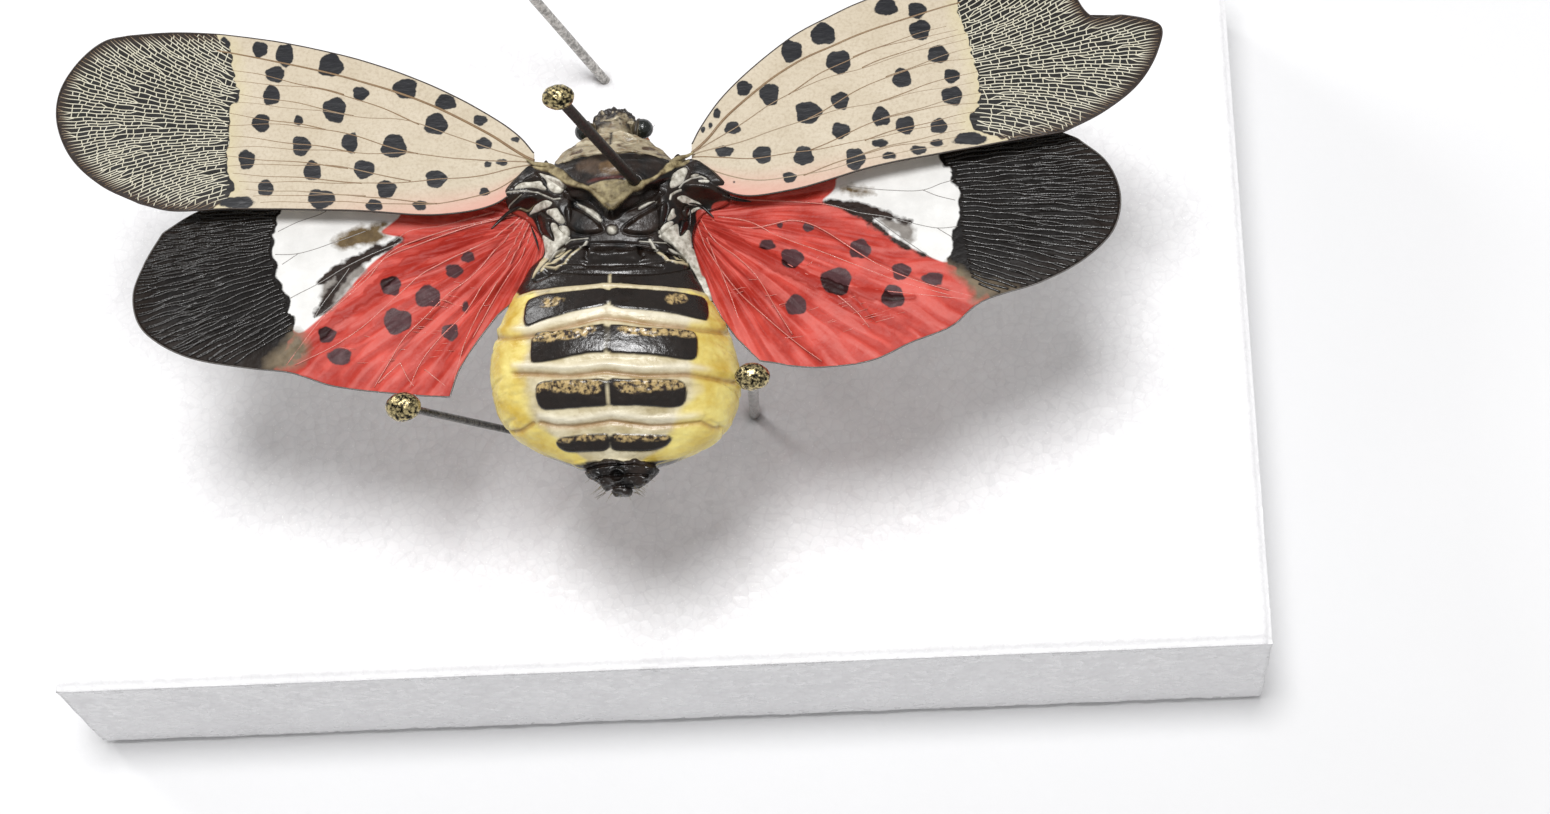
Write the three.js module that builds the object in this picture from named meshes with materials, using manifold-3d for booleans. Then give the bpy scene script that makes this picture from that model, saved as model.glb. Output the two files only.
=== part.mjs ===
// Spotted lanternfly, spread and pinned on a foam block. Millimetres, Z up, head towards +Y.
// The insect's own frame starts at the rear tip of its mesonotum, WING_LEVEL above the block's underside
// and INSECT_Y from the block's middle.
import * as THREE from "three";
import { mergeVertices } from "three/addons/utils/BufferGeometryUtils.js";
import Module from "manifold-3d";

const wasm = await Module();
wasm.setup();

// Mount
const FOAM = { x: 59.5, y: 39, z: 10 };
const WING_LEVEL = 28;
const INSECT_Y = -4.5;
const GAP = 0.3;
const SHAFT_RADIUS = 0.27;
const POINT_RADIUS = 0.04;
const POINT_LENGTH = 0.9;
const PIN_SIDES = 12;
const BORE_OVERSHOOT = 2;

// Insect
const AXIS_X = 0.15;
const MEMBRANE = 0.5;
const VEIN_RISE = 0.16;
const VEIN_HALF_WIDTH = 0.2;
const PLATE_RISE = 0.14;
const BODY_SHEAR = 0.06;
const THORAX_SIDES = 28;
const ABDOMEN_SIDES = 36;
const LEG_SIDES = 8;

const COLOURS = {
  foam: 0xf2f2ee,
  brass: 0xb89a4a,
  steel: 0x8c8c88,
  forewing: 0xcdb79c,
  hindwing: 0xc23a2e,
  dark: 0x241d18,
  tan: 0x9a8464,
  yellow: 0xd8b13a,
  orange: 0xd0601c,
};

const group = new THREE.Group();
group.name = "spotted_lanternfly_specimen";
const insect = new THREE.Group();
insect.position.set(0, INSECT_Y, WING_LEVEL);
group.add(insect);

function material(colour, metalness = 0) {
  return new THREE.MeshStandardMaterial({ color: colour, roughness: 0.6, metalness });
}

function addNode(parent, name, geometry, colour, metalness) {
  const mesh = new THREE.Mesh(geometry, material(colour, metalness));
  mesh.name = name;
  parent.add(mesh);
  return mesh;
}

// Smooth value through rows of [position, value], in rising position.
function profile(rows) {
  const slope = rows.map((row, i) => {
    const a = rows[Math.max(0, i - 1)];
    const b = rows[Math.min(rows.length - 1, i + 1)];
    return (b[1] - a[1]) / (b[0] - a[0]);
  });
  return (x) => {
    let i = 0;
    while (i < rows.length - 2 && x > rows[i + 1][0]) i += 1;
    const [x0, y0] = rows[i];
    const [x1, y1] = rows[i + 1];
    const w = x1 - x0;
    const t = Math.min(1, Math.max(0, (x - x0) / w));
    const t2 = t * t;
    const t3 = t2 * t;
    return (
      (2 * t3 - 3 * t2 + 1) * y0 +
      (t3 - 2 * t2 + t) * w * slope[i] +
      (3 * t2 - 2 * t3) * y1 +
      (t3 - t2) * w * slope[i + 1]
    );
  };
}

function smoothstep(a, b, x) {
  const t = Math.min(1, Math.max(0, (x - a) / (b - a)));
  return t * t * (3 - 2 * t);
}

function geometryFrom(points, faces) {
  let volume = 0;
  for (const [a, b, c] of faces) {
    volume += points[a].dot(new THREE.Vector3().crossVectors(points[b], points[c]));
  }
  const index = [];
  for (const [a, b, c] of faces) index.push(a, ...(volume < 0 ? [c, b] : [b, c]));
  const geometry = new THREE.BufferGeometry().setFromPoints(points);
  geometry.setIndex(index);
  geometry.computeVertexNormals();
  return geometry;
}

// A closed solid through rings of equal vertex count, with a pole at either end.
function ringSolid(rings, startPole, endPole) {
  const sides = rings[0].length;
  const points = rings.flat();
  const faces = [];
  for (let i = 0; i < rings.length - 1; i += 1) {
    for (let j = 0; j < sides; j += 1) {
      const k = (j + 1) % sides;
      const a = i * sides + j;
      const b = i * sides + k;
      const c = (i + 1) * sides + j;
      const d = (i + 1) * sides + k;
      faces.push([a, b, c], [b, d, c]);
    }
  }
  const start = points.push(startPole) - 1;
  const end = points.push(endPole) - 1;
  const last = (rings.length - 1) * sides;
  for (let j = 0; j < sides; j += 1) {
    const k = (j + 1) % sides;
    faces.push([start, k, j], [end, last + j, last + k]);
  }
  return geometryFrom(points, faces);
}

// One point of a section whose upper and lower halves are superellipses.
function sectionPoint(section, angle) {
  const c = Math.cos(angle);
  const s = Math.sin(angle);
  const upper = s >= 0;
  const px = upper ? section.topRound : section.lowRound;
  const height = upper ? section.up : section.down;
  const flat = upper ? section.topFlat : section.lowFlat;
  return [
    section.half * Math.sign(c) * Math.abs(c) ** px,
    section.level + height * Math.sign(s) * Math.abs(s) ** flat,
  ];
}

// A block of the body between a front and a rear boundary given over x, closed by caps of the same bend.
function bodyBlock({
  sides,
  steps,
  front,
  rear,
  section,
  lift = () => 0,
  axis = AXIS_X,
  caps = [0.4, 0.78],
}) {
  const ring = (t, scale) => {
    const shape = section(t);
    const points = [];
    for (let j = 0; j < sides; j += 1) {
      const angle = (2 * Math.PI * j) / sides;
      const [x, z] = sectionPoint(shape, angle);
      const middle = shape.level + (shape.up - shape.down) / 2;
      const px = x * scale;
      const pz = middle + (z - middle) * scale;
      const y = front(px) + (rear(px) - front(px)) * t;
      const raised = scale === 1 && z > shape.level ? lift(px, y, t) : 0;
      const r = Math.hypot(x, z - shape.level) || 1;
      points.push(
        new THREE.Vector3(
          axis + px + (raised * x) / r,
          y,
          pz + (raised * (z - shape.level)) / r,
        ),
      );
    }
    return points;
  };
  const pole = (t) => {
    const shape = section(t);
    const y = front(0) + (rear(0) - front(0)) * t;
    return new THREE.Vector3(axis, y, shape.level + (shape.up - shape.down) / 2);
  };
  const rings = [
    ...caps.map((s) => ring(0, s)),
    ...steps.map((t) => ring(t, 1)),
    ...[...caps].reverse().map((s) => ring(1, s)),
  ];
  return ringSolid(rings, pole(0), pole(1));
}

function toManifold(geometry) {
  const position = geometry.getAttribute("position");
  return new wasm.Manifold(
    new wasm.Mesh({
      numProp: 3,
      vertProperties: new Float32Array(position.array),
      triVerts: new Uint32Array(geometry.index.array),
    }),
  );
}

function fromManifold(solid) {
  const mesh = solid.getMesh();
  const geometry = new THREE.BufferGeometry();
  geometry.setAttribute("position", new THREE.BufferAttribute(mesh.vertProperties, 3));
  geometry.setIndex([...mesh.triVerts]);
  geometry.computeVertexNormals();
  return geometry;
}

// A round bar of varying radius along a line: rows of [distance from the start, radius].
function barAlong(from, to, rows, sides) {
  const along = new THREE.Vector3().subVectors(to, from).normalize();
  const turn = new THREE.Quaternion().setFromUnitVectors(new THREE.Vector3(0, 1, 0), along);
  const at = (d, r, j) => {
    const angle = (2 * Math.PI * j) / sides;
    return new THREE.Vector3(r * Math.cos(angle), d, r * Math.sin(angle))
      .applyQuaternion(turn)
      .add(from);
  };
  const rings = rows.map(([d, r]) => Array.from({ length: sides }, (_, j) => at(d, r, j)));
  return ringSolid(rings, at(rows[0][0], 0, 0), at(rows.at(-1)[0], 0, 0));
}

function bore(geometry, from, to) {
  const length = from.distanceTo(to);
  const radius = SHAFT_RADIUS + GAP;
  const hole = barAlong(from, to, [[0, radius], [length, radius]], PIN_SIDES);
  return fromManifold(toManifold(geometry).subtract(toManifold(hole)));
}

// Pins: head centre, the point where the shaft enters the foam, and the head's radius and half height.
const PINS = {
  pin_main: {
    head: [-0.64, 0.21, 13.0],
    foot: [4.87, 3.63, -18],
    radius: 0.66,
    half: 0.52,
    metal: COLOURS.brass,
  },
  pin_left: {
    head: [-8.94, -8.97, 2.0],
    foot: [-2.74, -3.68, -18],
    radius: 0.78,
    half: 0.58,
    metal: COLOURS.steel,
  },
  pin_right: {
    head: [6.45, -8.29, 2.0],
    foot: [5.0, -2.13, -18],
    radius: 0.74,
    half: 0.55,
    metal: COLOURS.brass,
  },
  pin_front: {
    head: [-11.1, 18.5, 10.0],
    foot: [-2.61, 17.0, -18],
    radius: 0.7,
    half: 0.55,
    metal: COLOURS.steel,
  },
};
const PIN_DEPTH = 7;

function pinEnds({ head, foot }) {
  const top = new THREE.Vector3(...head);
  const surface = new THREE.Vector3(...foot);
  const down = new THREE.Vector3().subVectors(surface, top).normalize();
  const tip = surface.clone().addScaledVector(down, PIN_DEPTH / -down.z);
  return { top, surface, down, tip };
}

function pinGeometry(pin) {
  const { top, tip } = pinEnds(pin);
  const length = tip.distanceTo(top);
  const rows = [
    [0, POINT_RADIUS],
    [POINT_LENGTH, SHAFT_RADIUS],
    [length - pin.half * 1.15, SHAFT_RADIUS],
    [length - pin.half * 0.9, pin.radius * 0.55],
    [length - pin.half * 0.55, pin.radius * 0.86],
    [length, pin.radius],
    [length + pin.half * 0.55, pin.radius * 0.86],
    [length + pin.half * 0.9, pin.radius * 0.45],
  ];
  return barAlong(tip, top, rows, PIN_SIDES);
}

function foamBlock() {
  const box = new THREE.BoxGeometry(FOAM.x, FOAM.y, FOAM.z).translate(0, 0, FOAM.z / 2);
  box.deleteAttribute("normal");
  box.deleteAttribute("uv");
  let solid = toManifold(mergeVertices(box));
  for (const pin of Object.values(PINS)) {
    const { surface, down } = pinEnds(pin);
    const lift = new THREE.Vector3(0, INSECT_Y, WING_LEVEL);
    const from = surface.clone().add(lift).addScaledVector(down, -BORE_OVERSHOOT);
    const to = surface.clone().add(lift).addScaledVector(down, (PIN_DEPTH + GAP) / -down.z);
    const radius = SHAFT_RADIUS + GAP;
    const rows = [[0, radius], [from.distanceTo(to), radius]];
    solid = solid.subtract(toManifold(barAlong(from, to, rows, PIN_SIDES)));
  }
  return fromManifold(solid);
}

// Wings lie on two gently arched sheets, the fore wings above the hind wings.
const camber = (y) => -0.006 * (y - 2) ** 2;
const foreHeight = (x, y) => {
  const out = Math.abs(x) - 3;
  return 0.5 + 0.06 * out - 0.0016 * out * out + camber(y);
};
const hindHeight = (x, y) => {
  const out = Math.abs(x) - 3;
  return -0.6 + 0.045 * out - 0.0016 * out * out + camber(y);
};

const FORE_VEINS = [0.1, 0.23, 0.36, 0.49, 0.62, 0.75, 0.88];
const HIND_VEINS = [0.14, 0.28, 0.42, 0.56, 0.7, 0.84];

// Four margins of each wing in plan; the leading and trailing ones start at the root.
const WINGS = {
  forewing_left: {
    leading: [
      [-3.45, 3.75], [-4.2, 4.7], [-6, 6.1], [-8.7, 7.7], [-12.3, 9.2], [-16.8, 10.4], [-20.4, 10.9],
      [-22.6, 10.85],
    ],
    outer: [
      [-21.5, 2.0], [-23.3, 3.0], [-24.8, 4.5], [-25.6, 6.4], [-25.6, 8.0], [-24.8, 9.6], [-23.7, 10.6],
      [-22.6, 10.85],
    ],
    trailing: [
      [-3.45, 2.85], [-3.9, 2.35], [-5.2, 1.3], [-7.6, 0.85], [-12, 1.2], [-17.2, 1.5], [-20, 1.55],
      [-21.5, 2.0],
    ],
    height: foreHeight,
    veins: FORE_VEINS,
    between: [0.04, 0.95],
    steps: 21,
    colour: COLOURS.forewing,
  },
  forewing_right: {
    leading: [
      [3.75, 3.8], [4.2, 4.7], [5.5, 6.5], [8.4, 9.05], [10, 9.95], [11.7, 10.75], [15.5, 11.9],
      [19, 12.3], [21.2, 12.0],
    ],
    outer: [
      [20.6, 3.3], [22.4, 4.2], [24, 5.5], [25, 7.2], [25.2, 8.5], [23.6, 9.15], [22.2, 9.15],
      [21.5, 10.2], [21.2, 12.0],
    ],
    trailing: [
      [3.75, 2.75], [4.1, 2.4], [4.8, 1.7], [6, 1.1], [8.3, 1.2], [12.1, 2.1], [16.9, 2.8], [20.6, 3.3],
    ],
    height: foreHeight,
    veins: FORE_VEINS,
    between: [0.04, 0.95],
    steps: 21,
    colour: COLOURS.forewing,
  },
  hindwing_left: {
    leading: [[-3.4, 1.25], [-7, 2.1], [-12, 2.7], [-16, 2.8], [-19, 2.1], [-20.7, 1.1]],
    outer: [
      [-7.4, -7.4], [-9.3, -7.2], [-12.6, -6.7], [-14.6, -6.0], [-16.4, -5.7], [-19.1, -5.1],
      [-20.7, -4.3], [-21.6, -3.4], [-21.95, -2.0], [-21.5, -0.4], [-20.7, 1.1],
    ],
    trailing: [[-3.2, -0.8], [-3.5, -1.3], [-4.1, -2.2], [-5.7, -4.1], [-6.9, -6.0], [-7.4, -7.4]],
    height: hindHeight,
    veins: HIND_VEINS,
    between: [0.06, 0.21, 0.35, 0.49, 0.63, 0.77, 0.92],
    steps: 18,
    colour: COLOURS.hindwing,
  },
  hindwing_right: {
    leading: [[3.5, 1.25], [7, 2.3], [12, 3.6], [16.5, 4.4], [19.5, 4.3], [21.2, 3.6]],
    outer: [
      [6.6, -6.35], [8.9, -6.8], [11.6, -6.6], [13.3, -5.9], [15.2, -5.2], [16.5, -4.2], [19.4, -3.3],
      [21.3, -2.3], [22.6, -1.0], [23, 0.6], [22.5, 2.3], [21.2, 3.6],
    ],
    trailing: [[3.45, -0.8], [3.75, -1.5], [4.15, -2.7], [4.75, -3.9], [5.55, -5.2], [6.6, -6.35]],
    height: hindHeight,
    veins: HIND_VEINS,
    between: [0.06, 0.21, 0.35, 0.49, 0.63, 0.77, 0.92],
    steps: 18,
    colour: COLOURS.hindwing,
  },
};

function marginCurve(rows) {
  const points = rows.map(([x, y]) => new THREE.Vector3(x, y, 0));
  const curve = new THREE.CatmullRomCurve3(points, false, "centripetal");
  curve.arcLengthDivisions = 400;
  return curve;
}

// A wing is a patch stretched between its four margins, with its main veins raised in its upper face.
function wingGeometry(wing) {
  const leading = marginCurve(wing.leading);
  const outer = marginCurve(wing.outer);
  const trailing = marginCurve(wing.trailing);
  const rootLow = trailing.getPointAt(0);
  const rootHigh = leading.getPointAt(0);
  const tipLow = trailing.getPointAt(1);
  const tipHigh = leading.getPointAt(1);
  const patch = (u, v) => {
    const p = new THREE.Vector3();
    p.addScaledVector(trailing.getPointAt(u), 1 - v);
    p.addScaledVector(leading.getPointAt(u), v);
    p.addScaledVector(new THREE.Vector3().lerpVectors(rootLow, rootHigh, v), 1 - u);
    p.addScaledVector(outer.getPointAt(v), u);
    p.addScaledVector(rootLow, -(1 - u) * (1 - v));
    p.addScaledVector(rootHigh, -(1 - u) * v);
    p.addScaledVector(tipLow, -u * (1 - v));
    p.addScaledVector(tipHigh, -u * v);
    return p;
  };
  const spacing = wing.veins[1] - wing.veins[0];
  const upper = [];
  const lower = [];
  for (let i = 0; i <= wing.steps; i += 1) {
    const u = i / wing.steps;
    const width = patch(u, 0).distanceTo(patch(u, 1));
    const half = Math.min(VEIN_HALF_WIDTH / width, spacing * 0.3);
    const lines = [[0, 0]];
    for (const v of wing.veins) lines.push([v - half, 0], [v, VEIN_RISE], [v + half, 0]);
    for (const v of wing.between) lines.push([v, 0]);
    lines.push([1, 0]);
    lines.sort((a, b) => a[0] - b[0]);
    const row = lines.map(([v, rise]) => {
      const p = patch(u, v);
      const z = wing.height(p.x, p.y);
      return [
        new THREE.Vector3(p.x, p.y, z + MEMBRANE / 2 + rise),
        new THREE.Vector3(p.x, p.y, z - MEMBRANE / 2),
      ];
    });
    upper.push(row.map((pair) => pair[0]));
    lower.push(row.map((pair) => pair[1]));
  }
  const rows = upper.length;
  const columns = upper[0].length;
  const points = [...upper.flat(), ...lower.flat()];
  const under = rows * columns;
  const faces = [];
  for (let i = 0; i < rows - 1; i += 1) {
    for (let j = 0; j < columns - 1; j += 1) {
      const a = i * columns + j;
      const b = a + 1;
      const c = a + columns;
      const d = c + 1;
      faces.push([a, c, b], [b, c, d]);
      faces.push([under + a, under + b, under + c], [under + b, under + d, under + c]);
    }
  }
  const wall = (a, b) => faces.push([a, b, under + a], [b, under + b, under + a]);
  for (let i = 0; i < rows - 1; i += 1) {
    wall((i + 1) * columns, i * columns);
    wall(i * columns + columns - 1, (i + 1) * columns + columns - 1);
  }
  for (let j = 0; j < columns - 1; j += 1) {
    wall(j, j + 1);
    wall((rows - 1) * columns + j + 1, (rows - 1) * columns + j);
  }
  return geometryFrom(points, faces.map(([a, b, c]) => [a, c, b]));
}

// Body boundaries in plan, each over the distance from the body's axis.
const pronotumFront = (x) => 4.45 - 0.18 * x * x;
const pronotumRear = (x) => 2.95 - 0.045 * x * x;
const mesoFront = (x) => {
  const out = Math.abs(x);
  return pronotumRear(x) - GAP - 0.03 + 1.05 * smoothstep(2.86, 3.08, out);
};
const mesoRear = (x) => {
  const out = Math.abs(x);
  return Math.min(0.1 + 0.75 * out + 0.45 * (1 - Math.exp(-out / 0.4)), 1.75);
};
const metaFront = (x) => mesoRear(x) - GAP - 0.2;
const metaRear = (x) => -0.95 - 0.03 * x * x - BODY_SHEAR * x;
const headRear = (x) => pronotumFront(x) + GAP + 0.02;
const headFront = (x) => 6.05 - 0.5 * x * x;

const evenSteps = (n) => Array.from({ length: n + 1 }, (_, i) => i / n);

function thoraxSection(half, level, up, down) {
  return () => ({ half, level, up, down, topRound: 0.85, topFlat: 1, lowRound: 1.35, lowFlat: 0.85 });
}

const mainPin = pinEnds(PINS.pin_main);

function pronotum() {
  return bodyBlock({
    sides: THORAX_SIDES,
    steps: evenSteps(5),
    front: pronotumFront,
    rear: pronotumRear,
    section: (t) => ({
      ...thoraxSection(2.56, 0.3, 1, 2.6)(),
      up: 0.9 + 0.55 * smoothstep(0, 1, t),
    }),
  });
}

function mesothorax() {
  const block = bodyBlock({
    sides: THORAX_SIDES + 8,
    steps: evenSteps(7),
    caps: [0.4, 0.87, 0.94],
    front: mesoFront,
    rear: mesoRear,
    section: (t) => ({ ...thoraxSection(3.3, 0.1, 1.9, 3.2)(), up: 1.75 + 0.25 * Math.sin(Math.PI * t) }),
  });
  return bore(block, mainPin.top, mainPin.surface);
}

function metathorax() {
  const block = bodyBlock({
    sides: THORAX_SIDES + 4,
    steps: evenSteps(6),
    front: metaFront,
    rear: metaRear,
    section: thoraxSection(3.0, -0.3, 1.35, 2.8),
    lift: (x, y) => 0.25 * Math.exp(-((x / 0.3) ** 2) - ((y + 0.62) / 0.25) ** 2),
  });
  return bore(block, mainPin.top, mainPin.surface);
}

function head() {
  return bodyBlock({
    sides: THORAX_SIDES - 4,
    steps: evenSteps(6),
    front: headFront,
    rear: headRear,
    section: (t) => ({
      ...thoraxSection(1.05 - 0.6 * smoothstep(0.1, 0.6, t), -0.2, 1, 1.75)(),
      up: 0.55 + 0.45 * smoothstep(0, 0.6, t),
    }),
  });
}

// Abdomen: half width, top, widest level and underside over the distance behind the thorax's rear edge.
const abdomenHalf = profile([
  [1.27, 2.95], [2, 3.4], [2.75, 4.15], [3.5, 4.8], [4.3, 5.25], [5.5, 5.6], [7, 5.6], [8.4, 5.25],
  [9.4, 4.6], [10.1, 3.6], [10.55, 2.7], [10.8, 1.95],
]);
const abdomenTop = profile([
  [1.27, 0.7], [2, 0.9], [3, 1.2], [4, 1.5], [5.5, 1.7], [7, 1.5], [8.4, 0.9], [9.4, 0.2], [10.3, -0.65],
  [10.8, -1.2],
]);
const abdomenLevel = profile([[1.27, -0.7], [3, -1.35], [5.5, -1.8], [8, -1.8], [10.95, -1.9]]);
const abdomenLow = profile([[1.27, -3.0], [3, -3.9], [5.5, -4.6], [8, -4.4], [10, -3.5], [10.95, -2.8]]);
const ABDOMEN_START = 1.27;
const ABDOMEN_AXIS = -0.03;
const ABDOMEN_END = 10.8;
const TIP_AXIS = 0.25;
const TIP_REAR = -12.1;
const TIP_LEVEL = -1.9;

// Dark plates as [front, rear, inner reach, outer reach] behind the thorax and out from the midline.
const PLATES = [
  [1.75, 2.6, 0, 3.3],
  [3.7, 4.95, 0.12, 4.2],
  [5.45, 7.1, 0.12, 3.9],
  [7.7, 9.1, 0.12, 3.5],
  [9.75, 10.6, 0, 2.6],
];

function abdomen() {
  const stops = new Set([ABDOMEN_START, 1.45, 3.1, 3.4, ABDOMEN_END, 10.7]);
  const edge = 0.08;
  for (const [from, to] of PLATES) {
    stops.add(from - edge);
    stops.add(from + edge);
    stops.add((from + to) / 2);
    stops.add(to - edge);
    stops.add(to + edge);
  }
  const along = [...stops].sort((a, b) => a - b);
  const span = ABDOMEN_END - ABDOMEN_START;
  return bodyBlock({
    sides: ABDOMEN_SIDES,
    axis: ABDOMEN_AXIS,
    steps: along.map((s) => (s - ABDOMEN_START) / span),
    front: (x) => -ABDOMEN_START - 0.03 * x * x - BODY_SHEAR * x,
    rear: (x) => -ABDOMEN_END - BODY_SHEAR * x,
    section: (t) => {
      const s = ABDOMEN_START + t * span;
      const level = abdomenLevel(s);
      return {
        half: abdomenHalf(s),
        level,
        up: abdomenTop(s) - level,
        down: level - abdomenLow(s),
        topRound: 0.92,
        topFlat: 0.95,
        lowRound: 1,
        lowFlat: 0.9,
      };
    },
    lift: (x, y, t) => {
      const s = ABDOMEN_START + t * span;
      const out = Math.abs(x);
      const on = PLATES.some(([from, to, inner, outer]) => s > from && s < to && out > inner && out < outer);
      return on ? PLATE_RISE : 0;
    },
  });
}

function abdomenTip() {
  const half = profile([[0, 1.7], [0.4, 1.55], [0.8, 1.1], [1.1, 0.5]]);
  return bodyBlock({
    sides: 20,
    axis: TIP_AXIS,
    steps: evenSteps(5),
    front: (x) => -ABDOMEN_END - GAP - BODY_SHEAR * x,
    rear: () => TIP_REAR,
    section: (t) => ({
      half: half(t * 1.1),
      level: TIP_LEVEL,
      up: 0.75 - 0.4 * t,
      down: 0.9 - 0.45 * t,
      topRound: 1,
      topFlat: 1,
      lowRound: 1,
      lowFlat: 1,
    }),
  });
}

function ellipsoid(radii, centre, wide = 12, high = 8) {
  const rings = [];
  for (let i = 1; i < high; i += 1) {
    const polar = (Math.PI * i) / high;
    const ring = [];
    for (let j = 0; j < wide; j += 1) {
      const turn = (2 * Math.PI * j) / wide;
      ring.push(
        new THREE.Vector3(
          centre[0] + radii[0] * Math.sin(polar) * Math.cos(turn),
          centre[1] + radii[1] * Math.sin(polar) * Math.sin(turn),
          centre[2] + radii[2] * Math.cos(polar),
        ),
      );
    }
    rings.push(ring);
  }
  const top = new THREE.Vector3(centre[0], centre[1], centre[2] + radii[2]);
  const bottom = new THREE.Vector3(centre[0], centre[1], centre[2] - radii[2]);
  return ringSolid(rings, top, bottom);
}

const EYE = { x: 1.4, y: 4.9, z: 0.1, radii: [0.42, 0.46, 0.46] };

const ANTENNA = { bulb: [1.36, 4.98, -1.05], end: [2.1, 6.0, -0.7] };

function antenna(side) {
  const [bulb, end] = [ANTENNA.bulb, ANTENNA.end].map(([x, y, z]) => {
    return new THREE.Vector3(AXIS_X + side * x, y, z);
  });
  const length = bulb.distanceTo(end);
  const rows = [
    [-0.26, 0.1],
    [-0.16, 0.24],
    [0.02, 0.28],
    [0.2, 0.2],
    [0.3, 0.08],
    [length, 0.03],
  ];
  return barAlong(bulb, end, rows, 10);
}

const ROSTRUM = { from: [AXIS_X, 5.15, -2.6], to: [AXIS_X, 0.9, -4.6] };

function rostrum() {
  const from = new THREE.Vector3(...ROSTRUM.from);
  const to = new THREE.Vector3(...ROSTRUM.to);
  const length = from.distanceTo(to);
  return barAlong(from, to, [[0, 0.26], [length * 0.5, 0.26], [length - 0.5, 0.22], [length, 0.08]], 8);
}

const SPINE = { length: 0.62, slant: 0.2, root: 0.16, point: 0.05, sides: 6 };

// A leg is one tapering bar bent at the knee and the ankle, thicker at its joints.
function leg(side, { hip, knee, ankle, toe, spines }) {
  const place = ([x, y, z]) => new THREE.Vector3(AXIS_X + side * x, y, z);
  const [a, b, c, d] = [hip, knee, ankle, toe].map(place);
  const stops = [
    [a, b, 0, 0.3],
    [a, b, 0.12, 0.34],
    [a, b, 0.3, 0.3],
    [a, b, 0.7, 0.33],
    [a, b, 0.93, 0.3],
    [b, c, 0.06, 0.3],
    [b, c, 0.15, 0.26],
    [b, c, 0.6, 0.25],
    [b, c, 0.95, 0.29],
    [c, d, 0.08, 0.25],
    [c, d, 0.5, 0.25],
    [c, d, 0.85, 0.25],
    [c, d, 1, 0.12],
  ];
  const centres = stops.map(([p, q, t]) => new THREE.Vector3().lerpVectors(p, q, t));
  const plane = new THREE.Vector3()
    .crossVectors(new THREE.Vector3().subVectors(a, b), new THREE.Vector3().subVectors(c, b))
    .normalize();
  const rings = centres.map((centre, i) => {
    const before = centres[Math.max(0, i - 1)];
    const after = centres[Math.min(centres.length - 1, i + 1)];
    const along = new THREE.Vector3().subVectors(after, before).normalize();
    const across = new THREE.Vector3().crossVectors(plane, along).normalize();
    const normal = new THREE.Vector3().crossVectors(along, across).normalize();
    return Array.from({ length: LEG_SIDES }, (_, j) => {
      const angle = (2 * Math.PI * j) / LEG_SIDES;
      return centre
        .clone()
        .addScaledVector(across, stops[i][3] * Math.cos(angle))
        .addScaledVector(normal, stops[i][3] * Math.sin(angle));
    });
  });
  const shaft = ringSolid(rings, a, d);
  if (!spines) return shaft;
  let solid = toManifold(shaft);
  const outward = new THREE.Vector3().crossVectors(plane, new THREE.Vector3().subVectors(c, b)).normalize();
  for (const t of spines) {
    const root = new THREE.Vector3().lerpVectors(b, c, t);
    const end = root.clone().addScaledVector(outward, SPINE.length);
    end.addScaledVector(new THREE.Vector3().subVectors(c, b).normalize(), SPINE.slant);
    const rows = [[0, SPINE.root], [root.distanceTo(end), SPINE.point]];
    solid = solid.add(toManifold(barAlong(root, end, rows, SPINE.sides)));
  }
  return fromManifold(solid);
}

const LEGS = {
  fore: { hip: [1.25, 3.5, -2.75], knee: [3.1, 4.2, -4.8], ankle: [1.1, 2.4, -7.2], toe: [0.9, 0.5, -7.8] },
  mid: { hip: [1.7, 0.75, -3.3], knee: [4.3, 1.6, -5.4], ankle: [2.35, -1.3, -8.2], toe: [2.1, -3.3, -9.2] },
  hind: {
    hip: [1.6, -0.4, -3.4],
    knee: [6.2, 0.2, -5.2],
    ankle: [3.7, -2.3, -8.0],
    toe: [3.2, -4.2, -8.3],
    spines: [0.3, 0.5, 0.7],
  },
};

addNode(group, "foam_block", foamBlock(), COLOURS.foam);
for (const [name, pin] of Object.entries(PINS)) {
  addNode(insect, name, pinGeometry(pin), pin.metal, 0.9);
}
for (const [name, wing] of Object.entries(WINGS)) {
  addNode(insect, name, wingGeometry(wing), wing.colour);
}
addNode(insect, "pronotum", pronotum(), COLOURS.tan);
addNode(insect, "mesothorax", mesothorax(), COLOURS.dark);
addNode(insect, "metathorax", metathorax(), COLOURS.dark);
addNode(insect, "head", head(), COLOURS.dark);
addNode(insect, "abdomen", abdomen(), COLOURS.yellow);
addNode(insect, "abdomen_tip", abdomenTip(), COLOURS.dark);
addNode(insect, "rostrum", rostrum(), COLOURS.dark);
for (const [label, side] of [["left", -1], ["right", 1]]) {
  const centre = [AXIS_X + side * EYE.x, EYE.y, EYE.z];
  addNode(insect, "eye_" + label, ellipsoid(EYE.radii, centre), COLOURS.dark);
  addNode(insect, "antenna_" + label, antenna(side), COLOURS.orange);
  for (const [pair, shape] of Object.entries(LEGS)) {
    addNode(insect, "leg_" + pair + "_" + label, leg(side, shape), COLOURS.dark);
  }
}

export default group;
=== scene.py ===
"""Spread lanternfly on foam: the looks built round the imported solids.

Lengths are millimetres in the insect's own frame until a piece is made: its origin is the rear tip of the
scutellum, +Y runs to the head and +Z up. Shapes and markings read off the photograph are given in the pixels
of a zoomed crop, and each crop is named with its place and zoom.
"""

import itertools
import math

import bpy
import numpy as np
from mathutils import Matrix, Vector


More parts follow.
